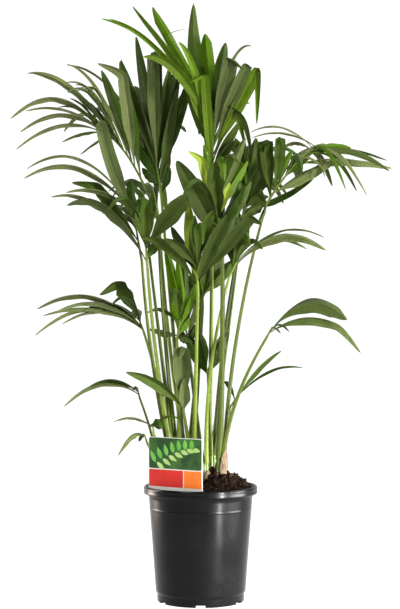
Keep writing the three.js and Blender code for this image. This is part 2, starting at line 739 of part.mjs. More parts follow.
function buildSoil() {
  const top = SOIL_EDGE_HEIGHT - 3
  const rings = [
    [CHANNEL_INNER - 2.5, FLOOR_THICK + GAP],
    [CHANNEL_INNER + 2.5, CHANNEL_TOP + GAP],
    [FOOT_RADIUS - WALL_THICK - 0.6, CHANNEL_TOP + GAP],
    [FOOT_RADIUS - WALL_THICK - 0.6, FOOT_HEIGHT],
    [soilRadius(FOOT_HEIGHT + 4), FOOT_HEIGHT + 4.3],
    [soilRadius(top), top],
  ].map(([radius, z]) => circle(radius, () => z))
  rings.push(circle(soilRadius(top) - 0.5, (x, y) => Math.max(top + 2, soilHeight(x, y))))
  for (let i = SOIL_RINGS - 1; i > 0; i--) {
    const radius = (soilRadius(top) * i) / SOIL_RINGS
    rings.push(circle(radius, (x, y) => soilHeight(x, y) + lump(x, y)))
  }
  rings.push([new THREE.Vector3(0, 0, soilHeight(0, 0) + lump(0, 0))])
  let soil = loft(rings)
  for (const stem of Object.values(STEMS)) {
    const bottom = stemFoot(stem) - GAP
    soil = soil.subtract(
      cylinder(stem.foot + GAP, stem.foot + GAP, bottom, POT_HEIGHT + 60, stem.at[0], stem.at[1], STEM_SIDES))
  }
  soil = soil.subtract(stakeSolid(GAP, POT_HEIGHT + 20))
  return largestPiece(soil)
}

function circle(radius, height) {
  const ring = []
  for (let k = 0; k < SOIL_SECTORS; k++) {
    const angle = (2 * Math.PI * k) / SOIL_SECTORS
    const x = radius * Math.cos(angle)
    const y = radius * Math.sin(angle)
    ring.push(new THREE.Vector3(x, y, height(x, y)))
  }
  return ring
}

function stemFoot(stem) {
  return soilHeight(stem.at[0], stem.at[1]) - POCKET_DEPTH
}

// The care card.

function cardFrame() {
  const left = new THREE.Vector3(CARD_LEFT[0], CARD_LEFT[1], 0)
  const right = new THREE.Vector3(CARD_RIGHT[0], CARD_RIGHT[1], 0)
  const along = right.clone().sub(left)
  const middle = left.add(right).multiplyScalar(0.5)
  return { width: along.length(), turn: Math.atan2(along.y, along.x), middle }
}

function stakeSolid(grow, top) {
  const { turn, middle } = cardFrame()
  const half = STAKE_WIDTH / 2 + grow
  const tip = STAKE_TIP - grow
  const outline = new THREE.Shape([
    new THREE.Vector2(-half, top),
    new THREE.Vector2(-half, tip + STAKE_POINT),
    new THREE.Vector2(-STAKE_TIP_HALF - grow, tip),
    new THREE.Vector2(STAKE_TIP_HALF + grow, tip),
    new THREE.Vector2(half, tip + STAKE_POINT),
    new THREE.Vector2(half, top),
  ])
  return plate(outline, CARD_THICK + 2 * grow, turn, middle)
}

function plate(outline, thick, turn, middle) {
  const shape = new THREE.ExtrudeGeometry(outline, { depth: thick, bevelEnabled: false, steps: 1 })
  shape.translate(0, 0, -thick / 2)
  shape.rotateX(Math.PI / 2)
  shape.rotateZ(turn)
  shape.translate(middle.x, middle.y, 0)
  return weld(shape)
}

function buildCard() {
  const { width, turn, middle } = cardFrame()
  const half = width / 2
  const round = CARD_CORNER
  const outline = new THREE.Shape()
  outline.moveTo(-half + round, CARD_BOTTOM)
  outline.lineTo(half - round, CARD_BOTTOM)
  outline.lineTo(half, CARD_BOTTOM + round)
  outline.lineTo(half, CARD_TOP - round)
  outline.lineTo(half - round, CARD_TOP)
  outline.lineTo(-half + round, CARD_TOP)
  outline.lineTo(-half, CARD_TOP - round)
  outline.lineTo(-half, CARD_BOTTOM + round)
  const panel = plate(outline, CARD_THICK, turn, middle)
  return panel.add(stakeSolid(0, CARD_BOTTOM + CARD_LAP))
}

// The stems and stalks, then the blades, whose leaflets turn a little or are left out where they
// would touch something already in place.

const placed = []

function place(name, slot, solid) {
  addNode(name, slot, solid)
  placed.push({ solid, box: solid.boundingBox() })
}

function boxesMeet(a, b) {
  for (let i = 0; i < 3; i++) {
    if (a.min[i] > b.max[i] + GAP || b.min[i] > a.max[i] + GAP) return false
  }
  return true
}

function touches(solid) {
  const box = solid.boundingBox()
  return placed.some((other) => boxesMeet(box, other.box) && solid.intersect(other.solid).volume() > 0)
}

// A leaflet from its row in the table, turned by the first nudge that keeps it clear of the rest.
function clearLeaflet(row, start) {
  const [, headed, reach, rise, arch, width, roll, out, drop] = row
  const shape = { start, reach, rise, arch, width, roll, bent: row.length > 7, out, drop }
  for (const nudge of NUDGES) {
    const solid = leafletSolid({ ...shape, direction: heading(headed + nudge) })
    if (!touches(solid)) return solid
  }
  return null
}

// The rib of a frond with its leaflets fused on, from just past the end of its stalk.
function bladeSolid(frond, stalk) {
  const end = stalk[stalk.length - 1]
  const stalkDirection = end.clone().sub(stalk[stalk.length - 2]).normalize()
  const start = end.clone().addScaledVector(stalkDirection, GAP)
  const [turn, reach, rise, arch] = frond.rib
  const ribPoint = (t) => archedPoint(start, heading(turn), reach, rise, arch, t)
  const points = []
  for (let i = 0; i <= RIB_STEPS; i++) points.push(ribPoint(i / RIB_STEPS))
  let blade = limb(points, topRadius(frond), RIB_TIP_RADIUS, stalkDirection)
  for (const row of frond.leaflets) {
    const leaflet = clearLeaflet(row, ribPoint(row[0]))
    if (leaflet) blade = blade.add(leaflet)
  }
  return largestPiece(blade)
}

place('pot', 'pot', buildPot())
place('soil', 'soil', buildSoil())
place('care_card', 'card', buildCard())
for (const [name, stem] of Object.entries(STEMS)) {
  place(
    `stem_${name}`,
    'stem',
    cylinder(stem.top, stem.foot, stemFoot(stem), stem.height, stem.at[0], stem.at[1], STEM_SIDES))
}
for (const [name, frond] of Object.entries(FRONDS)) {
  const upwards = new THREE.Vector3(0, 0, 1)
  frond.stalk = stalkPoints(frond)
  place(`stalk_${name}`, 'stalk', limb(frond.stalk, footRadius(frond), topRadius(frond), upwards))
}
for (const [name, frond] of Object.entries(FRONDS)) {
  place(`frond_${name}`, 'leaf', bladeSolid(frond, frond.stalk))
}

export default group
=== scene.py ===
import math
import random

import bmesh
import bpy
from mathutils import Matrix, Vector, kdtree, noise


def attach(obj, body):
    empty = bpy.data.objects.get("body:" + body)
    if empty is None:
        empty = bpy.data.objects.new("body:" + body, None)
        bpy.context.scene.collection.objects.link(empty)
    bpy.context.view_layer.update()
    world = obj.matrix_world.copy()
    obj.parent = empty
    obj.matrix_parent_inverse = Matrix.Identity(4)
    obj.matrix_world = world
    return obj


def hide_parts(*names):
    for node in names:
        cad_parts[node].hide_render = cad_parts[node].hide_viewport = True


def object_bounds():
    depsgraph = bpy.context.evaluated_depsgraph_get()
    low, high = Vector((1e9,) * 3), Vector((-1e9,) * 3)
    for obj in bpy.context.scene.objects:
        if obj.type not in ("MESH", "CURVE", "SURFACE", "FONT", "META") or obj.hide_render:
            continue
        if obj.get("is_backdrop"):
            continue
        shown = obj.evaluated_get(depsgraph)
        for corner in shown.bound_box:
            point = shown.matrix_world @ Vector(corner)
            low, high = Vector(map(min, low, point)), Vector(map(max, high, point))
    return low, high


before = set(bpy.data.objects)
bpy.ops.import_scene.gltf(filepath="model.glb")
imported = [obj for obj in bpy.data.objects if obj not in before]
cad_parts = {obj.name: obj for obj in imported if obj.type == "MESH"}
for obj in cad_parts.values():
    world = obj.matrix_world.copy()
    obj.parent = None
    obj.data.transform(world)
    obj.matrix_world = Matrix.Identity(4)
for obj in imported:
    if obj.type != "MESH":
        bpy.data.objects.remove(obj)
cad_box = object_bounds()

# The looks of a clump of young kentia palms in a nursery pot. The plant, the pot and the card are in
# millimetres in the frame's own axes, and each mesh is scaled to metres when it is made. The camera,
# the lights and the floor are in metres. -Y is the front. Turns are in degrees from +X towards +Y.

MM = 0.001
BODY = "root"
SEED = 41
TURN = 2 * math.pi

# The camera: level, in front of the plant.
CAMERA_DISTANCE = 2.7
CAMERA_HEIGHT = 0.515
SENSOR = 36.0
LENS = 86.3
SHIFT_X = -0.0011
SHIFT_Y = 0.0277

# The studio: the floor curves up into a backdrop.
SKY_STRENGTH = 0.19
FLOOR_HALF = 8
BACKDROP_AT = 6.2
BACKDROP_TURN = 1.0
BACKDROP_HEIGHT = 7
BACKDROP_STEPS = 12

# The pot.
POT_HEIGHT = 212
RIM_RADIUS = 105
RIM_BAND = 15
RIM_UNDER = POT_HEIGHT - RIM_BAND
RIM_THICK = 4.5
WALL_TOP_RADIUS = 96
WALL_BOTTOM_RADIUS = 83
WALL_THICK = 2
FOOT_RADIUS = 80
FOOT_HEIGHT = 15
WALL_FOOT = FOOT_HEIGHT + 4
FLOOR_THICK = 2.5
CHANNEL_UNDER = 5
CHANNEL_INNER = 48
CHANNEL_OUTER = 68
CHANNEL_SLOPE = 4
CHANNEL_TOP = CHANNEL_UNDER + FLOOR_THICK
EDGE_RADIUS = 1.4
POT_SIDES = 144
NOTCHES = 6
NOTCH_WIDTH = 18
NOTCH_ROOF = 0.3
DRAIN_HOLE_RADIUS = 5
DRAIN_HOLE_RING = 60
HOLE_SIDES = 24
CUT_PAST = 4
RING_LINE_HEIGHT = 171
RING_LINE_PROUD = 0.35

# The soil.
SOIL_EDGE_HEIGHT = 199
SOIL_TOP = SOIL_EDGE_HEIGHT - 3
SOIL_MOUND_HEIGHT = 237
SOIL_MOUND_AT = (30, 12)
SOIL_MOUND_RADIUS = 105
SOIL_GAP = 0.5
SOIL_LUMP = 4.5
SOIL_EDGE_RUN = 12
CLOD_SIZE = 11
CRUMB_SIZE = 4.5
GRIT_SIZE = 5
SOIL_SECTORS = 180
SOIL_RINGS = 62
POCKET_DEPTH = 24
CRUMBS = 520
CRUMB_SPIN = 6.28  # radians
FIBRES = 70
FIBRE_STEPS = 7
FIBRE_SIDES = 6
SCATTER_SPREAD = 46
SCATTER_SHIFT = 0.8
SCATTER_EDGE = 6
FIBRE_EDGE = 3

# The care card, in its own upright plane.
CARD_LEFT = (-95, -23)
CARD_RIGHT = (3, -85)
CARD_BOTTOM = 206
CARD_TOP = 304
CARD_THICK = 1.4
CARD_CORNER = 4
CARD_BEVEL = 0.2
STAKE_WIDTH = 16
STAKE_TIP = 128
STAKE_POINT = 26
STAKE_TIP_HALF = 2
PRINT_THICK = 0.12
PRINT_SUNK = 0.2
PRINT_MARGIN = 1.2
BANDS_BOTTOM = CARD_BOTTOM + 8
BANDS_TOP = CARD_BOTTOM + 39
FIELD_BOTTOM = CARD_BOTTOM + 41
BAND_SHARE = 0.3
BAND_GAP = 2
PRINT_LEAVES = 7

# Stalks and ribs. The looks are fuller than the frame's slim solids.
GAP = 0.3
STALK_FOOT_RADIUS = 3.2
SMALL_STALK_FOOT_RADIUS = 2.1
SMALL_STALK_TAPER = 0.4
STALK_INSET = 0.6
STALK_FULLNESS = 1.5
RIB_FULLNESS = 1.25
STALK_TOP_RADIUS = 2.1
RIB_TIP_RADIUS = 1.3
RIB_TIP_REACH = 2.5
STALK_GROOVE = 0.22
STALK_SIDES = 12
STALK_STEPS = 26
RIB_STEPS = 12

# Leaf bases and sheaths.
CORE_SIDES = 16
CORE_STEPS = 10
CORE_SHARE = 0.72
CORE_TAPER = 0.25
CORE_TIP = 5
BASE_SHARE = 0.56
BASE_SLIM = 1.04
BASE_GROOVE = 0.12
BASE_STEPS = 18
BASE_OVERLAP = 2
SHEATH_THICK = 0.5
SHEATH_ROOT = 8
SHEATH_COLUMNS = 40
SHEATH_ROWS = 8

# Leaflets. PLEATS gives how far the blade stands off its fold, by the share of its half width.
BASE_HALF_WIDTH = 1.5
WIDEST = 0.42
KNEE = 0.68
BEND_ROUND = 0.25
NUDGES = (0, 5, -5, 10, -10, 15, -15, 20, -20, 27, -27, 35, -35)
TIP_MATCH = 0.8
LEAFLET_STEPS = 26
STEPS_TO_TIP = 1.3
ACROSS = (1, 0.8, 0.55, 0.28, 0.08, 0, -0.08, -0.28, -0.55, -0.8, -1)
NARROW = 13
ACROSS_NARROW = (1, 0.6, 0.15, 0, -0.15, -0.6, -1)
FOLD_BASE = 48
FOLD_MID = 33
FOLD_RUN = 0.3
FULLNESS = 1.07  # makes up for the width that the fold takes
BLADE_THIN = 0.34
BLADE_THICK = 0.42
PLEATS = {0.28: 0.50, 0.55: -0.35, 0.8: 0.40}
PLEAT_HALF = 8  # the half width from which on the pleats are full
THICK_HALF = 5  # and from which on the blade is thickest
MIDRIB_RIDGE = 0.3
DRY_SHARE = 0.012
DRY_STEPS = 3
UPPER, UNDER, DRY_TIP = 0, 1, 2  # the materials of a leaflet's faces

# Colours. A pair is the dark and the light tone of one surface.
BASE_GREEN = ((0.060, 0.105, 0.020), (0.230, 0.340, 0.075))
BASE_TAN = ((0.110, 0.070, 0.032), (0.420, 0.320, 0.180))
SHEATH_TAN = ((0.062, 0.040, 0.020), (0.215, 0.155, 0.085))
SHEATH_STAIN = (0.060, 0.034, 0.018)
SOIL_BROWN = ((0.0045, 0.0027, 0.0020), (0.024, 0.0135, 0.0085))
CLOD_BROWN = ((0.0050, 0.0030, 0.0022), (0.032, 0.018, 0.011))
BARK_BROWN = ((0.016, 0.008, 0.005), (0.085, 0.041, 0.022))
FIBRE_TAN = ((0.030, 0.016, 0.009), (0.170, 0.100, 0.055))
POT_BLACK = ((0.0016, 0.0016, 0.0018), (0.0034, 0.0033, 0.0035))
POT_DUST = (0.035, 0.033, 0.031)
CARD_WHITE = ((0.50, 0.50, 0.46), (0.56, 0.56, 0.52))
CARD_GREEN = ((0.009, 0.042, 0.008), (0.036, 0.118, 0.016))
CARD_RED = ((0.430, 0.012, 0.008), (0.490, 0.017, 0.010))
CARD_ORANGE = ((0.660, 0.140, 0.012), (0.720, 0.175, 0.018))
CARD_LEAF_PALE = ((0.270, 0.420, 0.120), (0.350, 0.500, 0.180))
CARD_LEAF_FRESH = ((0.080, 0.290, 0.035), (0.130, 0.370, 0.055))
DRY = (0.200, 0.130, 0.045)
LEAF_SHEEN = (0.9, 1.0, 0.45, 1)
LEAF_ROUGHNESS = 0.40
UNDERSIDE_ROUGHNESS = 0.50
MIDRIB_PALER = 1.245
WHITE = (1, 1, 1, 1)

# Tint letters of the leaflets: the colour of the upper face and of the underside.
TINTS = {
    "d": ("deep", (0.016, 0.036, 0.003), (0.030, 0.049, 0.009)),
    "g": ("green", (0.026, 0.054, 0.003), (0.039, 0.066, 0.009)),
    # sage is partly the leaves' own grey-green and partly painted sheen.
    "s": ("sage_and_sheen", (0.112, 0.138, 0.044), (0.124, 0.150, 0.054)),
    "m": ("moss", (0.052, 0.075, 0.018), (0.062, 0.084, 0.026)),
    "f": ("fresh", (0.052, 0.112, 0.002), (0.066, 0.118, 0.006)),
    "b": ("bright", (0.070, 0.150, 0.003), (0.090, 0.165, 0.008)),
    # lime is partly the leaves' own yellow-green and partly a painted glow of light shining through the
    # blade.
    "l": ("lime_and_backlight", (0.290, 0.400, 0.035), (0.310, 0.410, 0.045)),
}
STALK_TINTS = {
    "light": (0.132, 0.182, 0.021),
    "mid": (0.110, 0.157, 0.016),
    "dark": (0.066, 0.094, 0.010),
}

# Stems: the short bundles of leaf bases that carry the stalks. Radii are at the foot and the top.
STEMS = {
    "left": {"at": (-47, -3), "foot": 14, "top": 12.5, "height": 262},
    "middle": {"at": (-14, 9), "foot": 9.5, "top": 8.5, "height": 266},
    "pale": {"at": (7, -13), "foot": 8, "top": 7.4, "height": 252},
    "right": {"at": (38, -2), "foot": 10, "top": 9, "height": 260},
    "back_right": {"at": (20, 34), "foot": 10, "top": 9, "height": 264},
    "back_left": {"at": (-27, 38), "foot": 9.5, "top": 8.5, "height": 264},
    "rim_left": {"at": (-76, -18), "foot": 7.5, "top": 7, "height": 256},
}

# Papery sheaths: stem, the heading they open at, how far they wrap, and how high they stand.
SHEATHS = [
    ("left", 250, 130, 26),
    ("left", 40, 120, 20),
    ("middle", 200, 150, 40),
    ("pale", 330, 120, 12),
    ("right", 312, 105, 44),
    ("right", 120, 120, 20),
    ("back_right", 30, 140, 24),
    ("back_left", 160, 140, 28),
    ("rim_left", 210, 130, 16),
]

# Fronds. side is where the stalk stands on its stem, end is the stalk's top, and bow is how far the
# stalk bends to the right. A rib is (heading, reach, rise, arch). A leaflet is (share along the rib,
# heading, reach, rise, arch, width, roll), and one that bends over at its knee has (out, drop) too,
# from the knee to its tip. finer has the leaflets that the solids leave out. tints and finer_tints
# have a letter for each leaflet. full makes a stalk thicker.
FRONDS = {
    "fan_left": {
        "stem": "left", "side": 60, "end": (-80, 30, 708), "bow": -5,
        "rib": (172, 108, 163, 30), "stalk": "dark", "tints": "ssssggsssssmsggsgs",
        "leaflets": [
            (0.78, 174, 166, 128, 41, 22, -20), (0.93, 184, 178, 26, 54, 22, 20),
            (0.96, 178, 158, 2, 36, 20, 20), (1, 190, 160, -37, 30, 16, 15),
            (0.98, 200, 79, -22, 8, 12, 20), (0.88, 150, 64, -33, 4, 9, 10),
            (0.5, 165, 126, 183, 44, 12, -25), (0.58, 196, 116, 124, 46, 11, 5),
            (0.64, 160, 96, 124, 36, 14, 10), (0.7, 205, 101, 91, 44, 14, 5),
            (0.86, 168, 166, 52, 26, 15, 5), (0.82, 215, 97, 78, 24, 12, 0),
            (0.4, 190, 21, 166, 0, 26, 70, 51, -28), (0.3, 125, 75, 231, 10, 24, -35),
            (0.45, 150, 70, 181, 10, 24, -60), (0.55, 100, 150, 110, 45, 20, 0),
            (0.75, 110, 160, 55, 50, 20, 0), (0.9, 128, 150, 20, 40, 18, 0),
        ],
        "finer": [
            (0.75, 172, 42, 100, 20, 9, 10, 48, 8), (0.8, 176, 30, 95, 16, 8, 10, 42, 0),
            (0.97, 172, 64, 66, 14, 13, 10), (1, 178, 82, 46, 20, 9, 15),
            (0.66, 174, 172, 142, 34, 18, 25), (0.6, 172, 64, 92, 10, 26, 30),
        ],
        "finer_tints": "ssggsg",
    },
    "dark_upright": {
        "stem": "back_left", "side": 215, "end": (-77, 80, 775), "bow": 0,
        "rib": (170, 12, 60, 0), "stalk": "mid", "tints": "dddmdgdddmdgggg",
        "leaflets": [
            (0.2, 118, 102, 289, 5, 26, -28), (0.1, 150, 62, 160, 0, 38, -60),
            (0.6, 15, 22, 180, 5, 26, 70), (0.5, 262, 40, 210, 0, 28, 0, 35, 30),
            (0.4, 60, 60, 200, 20, 27, 30), (0.7, 100, 50, 180, 20, 26, 10),
            (0.15, 20, 44, 165, 10, 24, 55), (0.3, 27, 68, 178, 8, 26, 40),
            (0.55, 40, 54, 190, 8, 26, 20), (0.85, 275, 36, 195, 0, 27, 0, 35, 30),
            (0.35, 175, 50, 165, 12, 24, 60), (0.5, 90, 150, 110, 50, 22, 0),
            (0.7, 140, 170, 110, 50, 22, -10), (0.3, 70, 150, 100, 50, 22, 0),
            (0.9, 112, 130, 150, 45, 20, 0),
        ],
        "finer": [
            (0.8, 172, 172, 184, 47, 12, 20), (0.6, 172, 69, 205, 10, 24, -50),
            (0.05, 165, 40, 150, 8, 26, -50), (0.02, 178, 52, 84, 12, 28, -55),
            (0.05, 20, 30, 150, 4, 22, 50), (0, 10, 18, 58, 2, 18, 60), (-0.1, 180, 36, 38, 6, 26, -50),
            (-0.25, 5, 14, 50, 2, 20, 60), (0.3, 25, 75, 215, 5, 22, 50), (0.6, 350, 25, 190, 4, 24, -60),
            (0.1, 340, 36, 175, 4, 22, -60),
        ],
        "finer_tints": "ggdddddddgd",
    },
    "top_centre": {
        "stem": "back_right", "side": 180, "end": (21, 10, 768), "bow": 2,
        "rib": (0, 3, 135, 0), "stalk": "mid", "tints": "gfffbffbgmmfgmfgfgfg",
        "leaflets": [
            (1, 150, 37, 105, 0, 41, -60, 6, -102), (0.9, 125, 24, 148, 0, 26, -35, 3, -16),
            (0.84, 170, 102, 196, 6, 22, -60, 13, -26), (0.95, 186, 151, 201, 10, 18, 35),
            (0.88, 176, 210, 193, 43, 18, -35), (0.78, 196, 198, 192, 42, 12, 10),
            (0.72, 205, 141, 130, 42, 22, 50), (0.45, 215, 77, 196, 40, 15, 60),
            (0.45, 165, 50, 120, 5, 26, -70), (0.6, 318, 44, 145, 5, 32, -40, 30, 20),
            (0.5, 335, 68, 147, 5, 26, -50, 12, 4), (0.4, 348, 81, 152, 5, 28, -65, 2, 98),
            (0.95, 40, 30, 140, 5, 30, 50), (1, 350, 72, 120, 40, 12, -5),
            (0.55, 200, 60, 135, 8, 22, 60), (0.2, 340, 50, 55, 8, 20, -40),
            (0.3, 60, 150, 130, 40, 22, 10), (0.35, 100, 170, 110, 50, 22, 0),
            (0.6, 80, 140, 150, 40, 22, 0), (0.75, 100, 130, 120, 40, 20, 10),
        ],
        "finer": [
            (0.02, 235, 25, 192, 0, 20, 45, 45, 14), (1, 345, 52, -8, 8, 24, -55, 22, 82),
            (0.25, 350, 52, 84, 2, 20, -55), (0.98, 176, 80, 146, 6, 6, 10, -30, -12),
        ],
        "finer_tints": "fggs",
    },
    "bright_centre": {
        "stem": "right", "side": 210, "end": (39, -56, 645), "bow": 3,
        "rib": (190, 12, 85, 0), "stalk": "dark", "full": 1.35, "tints": "dlgflgfggdgm",
        "leaflets": [
            (0.1, 195, 84, 150, 6, 42, 70), (0.9, 190, 24, 80, 0, 22, 70, 28, -20),
            (0.5, 255, 40, 110, 10, 36, 0), (0.8, 285, 50, 50, 70, 26, 0), (0.7, 330, 26, 60, 0, 16, -60),
            (0.3, 258, 30, 20, 20, 24, 0), (0.8, 20, 60, 95, 5, 24, 60), (0.9, 300, 80, 70, 50, 22, -10),
            (0.6, 235, 110, 40, 50, 20, 0), (0.4, 0, 45, 80, 5, 26, 60), (0.3, 15, 58, 100, 8, 28, 60),
            (0.9, 30, 62, 130, 5, 24, 55),
        ],
        "finer": [
            (0.95, 175, 22, 110, 2, 16, -60), (0.9, 165, 14, 60, 0, 20, -60),
            (0.85, 60, 20, 80, 2, 22, 10), (0.1, 20, 36, 118, 3, 22, 50), (0, 40, 30, 70, 2, 20, 45),
            (0, 90, 20, 95, 2, 18, 0),
        ],
        "finer_tints": "fsggdd",
    },
    "upper_right": {
        "stem": "right", "side": 25, "end": (121, 0, 731), "bow": -14,
        "rib": (0, 92, 107, 12), "stalk": "light", "tints": "dgbsmssfssfsfsgggg",
        "leaflets": [
            (0.08, 250, 18, 104, 0, 38, 0, 22, 25), (0.18, 290, 18, 95, 0, 26, 0, 18, 20),
            (0.85, 350, 79, 6, 8, 22, 55), (0.6, 8, 184, -6, 11, 23, 45),
            (0.75, 345, 160, -32, 27, 20, 40), (0.14, 350, 118, 60, 4, 28, 60),
            (0.35, 20, 60, 60, 10, 20, 50), (0.24, 40, 39, 70, 8, 14, 60),
            (0.95, 165, 120, 33, 25, 10, 10), (1, 190, 122, 13, 18, 10, 10),
            (0.9, 310, 90, -80, 35, 12, 10), (0.8, 325, 128, -83, 40, 12, 10),
            (0.7, 330, 95, -35, 25, 10, 10), (0.6, 320, 70, -25, 20, 10, 10),
            (0.4, 75, 150, -10, 34, 22, 0), (0.6, 60, 160, -30, 50, 20, 0),
            (0.8, 45, 150, -60, 40, 18, 5), (0.5, 275, 130, -20, 32, 20, 0),
        ],
        "finer": [
            (0.85, 0, 146, -16, 14, 12, 45), (1, 340, 57, -82, 25, 10, 10),
            (0.95, 320, 26, -56, 15, 9, 10), (1, 345, 96, -95, 25, 7, 10),
            (0.98, 350, 76, -52, 20, 8, 10), (0.9, 150, 60, 6, 14, 14, 30),
            (0.55, 352, 60, 40, 12, 22, 45), (0.35, 5, 50, 40, 8, 20, 45), (0, 185, 42, -24, 6, 24, 60),
            (0.02, 170, 20, 16, 2, 18, 50), (0, 150, 12, 30, 2, 16, -30), (0, 215, 20, -36, 2, 18, 50),
            (0.02, 190, 52, -28, 8, 18, 50), (0.1, 235, 26, 95, 0, 26, 40, 16, 20),
        ],
        "finer_tints": "dfsssssgdgddgg",
    },
    "mid_left": {
        "stem": "left", "side": 245, "end": (-97, -60, 622), "bow": -6,
        "rib": (180, 3, 40, 0), "stalk": "light", "tints": "mgdggg",
        "leaflets": [
            (0, 182, 144.9, 102, 50, 32, 35), (0.5, 262, 24, 92, 0, 38, 0, 40, 30),
            (0.6, 340, 68, 86, 9, 41, -50, 11, -12), (0.2, 10, 30, 31, 3, 12, 60),
            (0.8, 60, 20, 100, 5, 20, 0), (0.9, 235, 110, 50, 50, 24, 0),
        ],
        "finer": [
            (0.1, 30, 26, 40, 4, 20, 45),
        ],
        "finer_tints": "g",
    },
    "front_centre": {
        "stem": "middle", "side": 290, "end": (-5, -70, 572), "bow": 0,
        "rib": (180, 2, 50, 0), "stalk": "light", "tints": "ggddldgg",
        "leaflets": [
            (0.15, 190, 103, 84, 28, 26, 40), (0.5, 250, 15, 108, 4, 25, 0),
            (0.3, 345, 96, 112, 4, 27, -60, 22, 12), (0.25, 330, 60, 120, 5, 26, -60),
            (0.2, 140, 22, 150, 0, 30, -30), (0.8, 215, 70, 50, 10, 22, 40),
            (0.9, 310, 45, 95, 20, 26, -20), (0.7, 275, 110, 40, 60, 24, 0),
        ],
        "finer": [
            (0.6, 100, 20, 90, 4, 24, 0), (0.6, 160, 50, 85, 4, 24, -50),
        ],
        "finer_tints": "gd",
    },
    "inner_left": {
        "stem": "left", "side": 340, "end": (-44, 12, 481), "bow": 0,
        "rib": (0, 6, 37, 0), "stalk": "light", "tints": "ffgfgg",
        "leaflets": [
            (0.4, 120, 15, 80, 5, 18, 0), (0.5, 5, 36, 91, 5, 18, 60), (0.2, 160, 72, 12, 3, 24, 40),
            (0.6, 60, 30, 60, 5, 20, 0), (0.8, 135, 90, 20, 18, 20, 0), (0.9, 262, 90, 30, 45, 20, 0),
        ],
        "finer": [
            (0.2, 20, 24, 34, 4, 20, 50), (0.05, 10, 30, -8, 6, 22, 50),
        ],
        "finer_tints": "fd",
    },
    "inner_back": {
        "stem": "pale", "side": 180, "end": (-24, 42, 470), "bow": 0,
        "rib": (170, 4, 36, 0), "stalk": "dark", "tints": "bfgsdg",
        "leaflets": [
            (0.6, 165, 42, 168, 5, 24, -60), (0.5, 150, 20, 150, 5, 20, -30),
            (0.7, 100, 30, 145, 5, 24, 0), (0.4, 30, 25, 85, 5, 20, 20), (0.8, 66, 120, 70, 40, 20, 0),
            (0.9, 88, 110, 90, 40, 20, 0),
        ],
        "finer": [
            (0, 200, 14, 32, 0, 20, 40), (0.1, 10, 14, 36, 0, 18, 50),
        ],
        "finer_tints": "dd",
    },
    "mid_right": {
        "stem": "pale", "side": 0, "end": (52, -20, 596), "bow": -13,
        "rib": (0, 15, 30, 0), "stalk": "light", "tints": "smmddgg",
        "leaflets": [
            (0.8, 352, 166, 24, 40, 26, 45), (0.6, 10, 139, 34, 35, 16, 35),
            (1, 340, 166, 39, 34, 12, 10), (0.5, 110, 30, 95, 10, 26, 0), (0.7, 60, 50, 90, 5, 26, 20),
            (0.4, 265, 80, 40, 50, 24, 0), (0.9, 300, 90, 20, 30, 22, 5),
        ],
        "finer": [
            (0.6, 100, 25, 70, 4, 24, 0), (0.8, 70, 14, 100, 4, 24, 10),
        ],
        "finer_tints": "dd",
    },
    "low_left": {
        "stem": "left", "side": 145, "end": (-105, -8, 496), "bow": 6,
        "rib": (180, 8, 22, 0), "stalk": "mid", "tints": "gssgssdd",
        "leaflets": [
            (0.6, 186, 36, 77, 14, 44, 45, 41, 23), (0.5, 176, 196, 30, 41, 20, 30),
            (0.4, 196, 162, 26, 31, 18, 30), (0.9, 160, 96, 22, 20, 22, 25),
            (0.4, 186, 182, 20, 24, 16, 25), (0.3, 181, 199, -15, 45, 16, 25),
            (0.7, 100, 120, 0, 28, 20, 0), (0.8, 245, 110, 30, 30, 17, 0),
        ],
        "finer": [
            (0.3, 184, 110, 30, 30, 22, 25), (0.15, 180, 150, 10, 30, 14, 25),
        ],
        "finer_tints": "gs",
    },
    "small_left": {
        "small": True, "stem": "rim_left", "side": 130, "end": (-112, -4, 372), "bow": 3,
        "rib": (180, 4, 16, 0), "stalk": "dark", "tints": "gsg",
        "leaflets": [
            (0.8, 184, 93, 8, 19, 18, 35), (0.5, 176, 141, -24, 33, 17, 30), (0.9, 110, 30, 0, 8, 12, 0),
        ],
    },
    "shoot_left": {
        "small": True, "stem": "rim_left", "side": 20, "end": (-86, -22, 312), "bow": 0,
        "rib": (180, 2, 14, 0), "stalk": "mid", "tints": "sdg",
        "leaflets": [
            (0.6, 182, 72, 10, 13, 11, 20), (0.8, 300, 28, -5, 16, 34, 20), (0.9, 5, 56, 10, 12, 9, 20),
        ],
    },
    "shoot_rim": {
        "small": True, "stem": "rim_left", "side": 190, "end": (-99, -12, 292), "bow": 0,
        "rib": (180, 4, 14, 0), "stalk": "mid", "tints": "sg",
        "leaflets": [
            (0.8, 182, 50, -36, 20, 18, 25), (0.9, 110, 36, -14, 8, 12, 0),
        ],
    },
    "low_centre": {
        "stem": "middle", "side": 180, "end": (-31, -15, 348), "bow": 0,
        "rib": (180, 2, 20, 0), "stalk": "mid", "tints": "gmd",
        "leaflets": [
            (0.4, 186, 122, 68, 14, 24, 45), (0.6, 262, 20, 108, 0, 36, 0, 25, 20),
            (0.8, 80, 90, 50, 30, 20, 0),
        ],
        "finer": [
            (0.1, 275, 14, 60, 0, 24, 0),
        ],
        "finer_tints": "m",
    },
    "inner_right": {
        "stem": "back_right", "side": 265, "end": (14, 4, 409), "bow": 0,
        "rib": (180, 3, 22, 0), "stalk": "mid", "tints": "ddsdd",
        "leaflets": [
            (0.4, 140, 25, 90, 5, 22, 0), (0.3, 175, 35, 60, 5, 26, -60), (0.6, 30, 50, 75, 20, 20, 30),
            (0.7, 92, 35, 70, 10, 22, 0), (0.8, 130, 100, 50, 30, 20, 0),
        ],
        "finer": [
            (0.3, 10, 26, 66, 3, 24, 50), (0.3, 20, 42, 80, 2, 20, 45),
        ],
        "finer_tints": "ds",
    },
    "low_right": {
        "stem": "right", "side": 300, "end": (120, -20, 484), "bow": -14,
        "rib": (0, 11, 20, 0), "stalk": "light", "tints": "mmgg",
        "leaflets": [
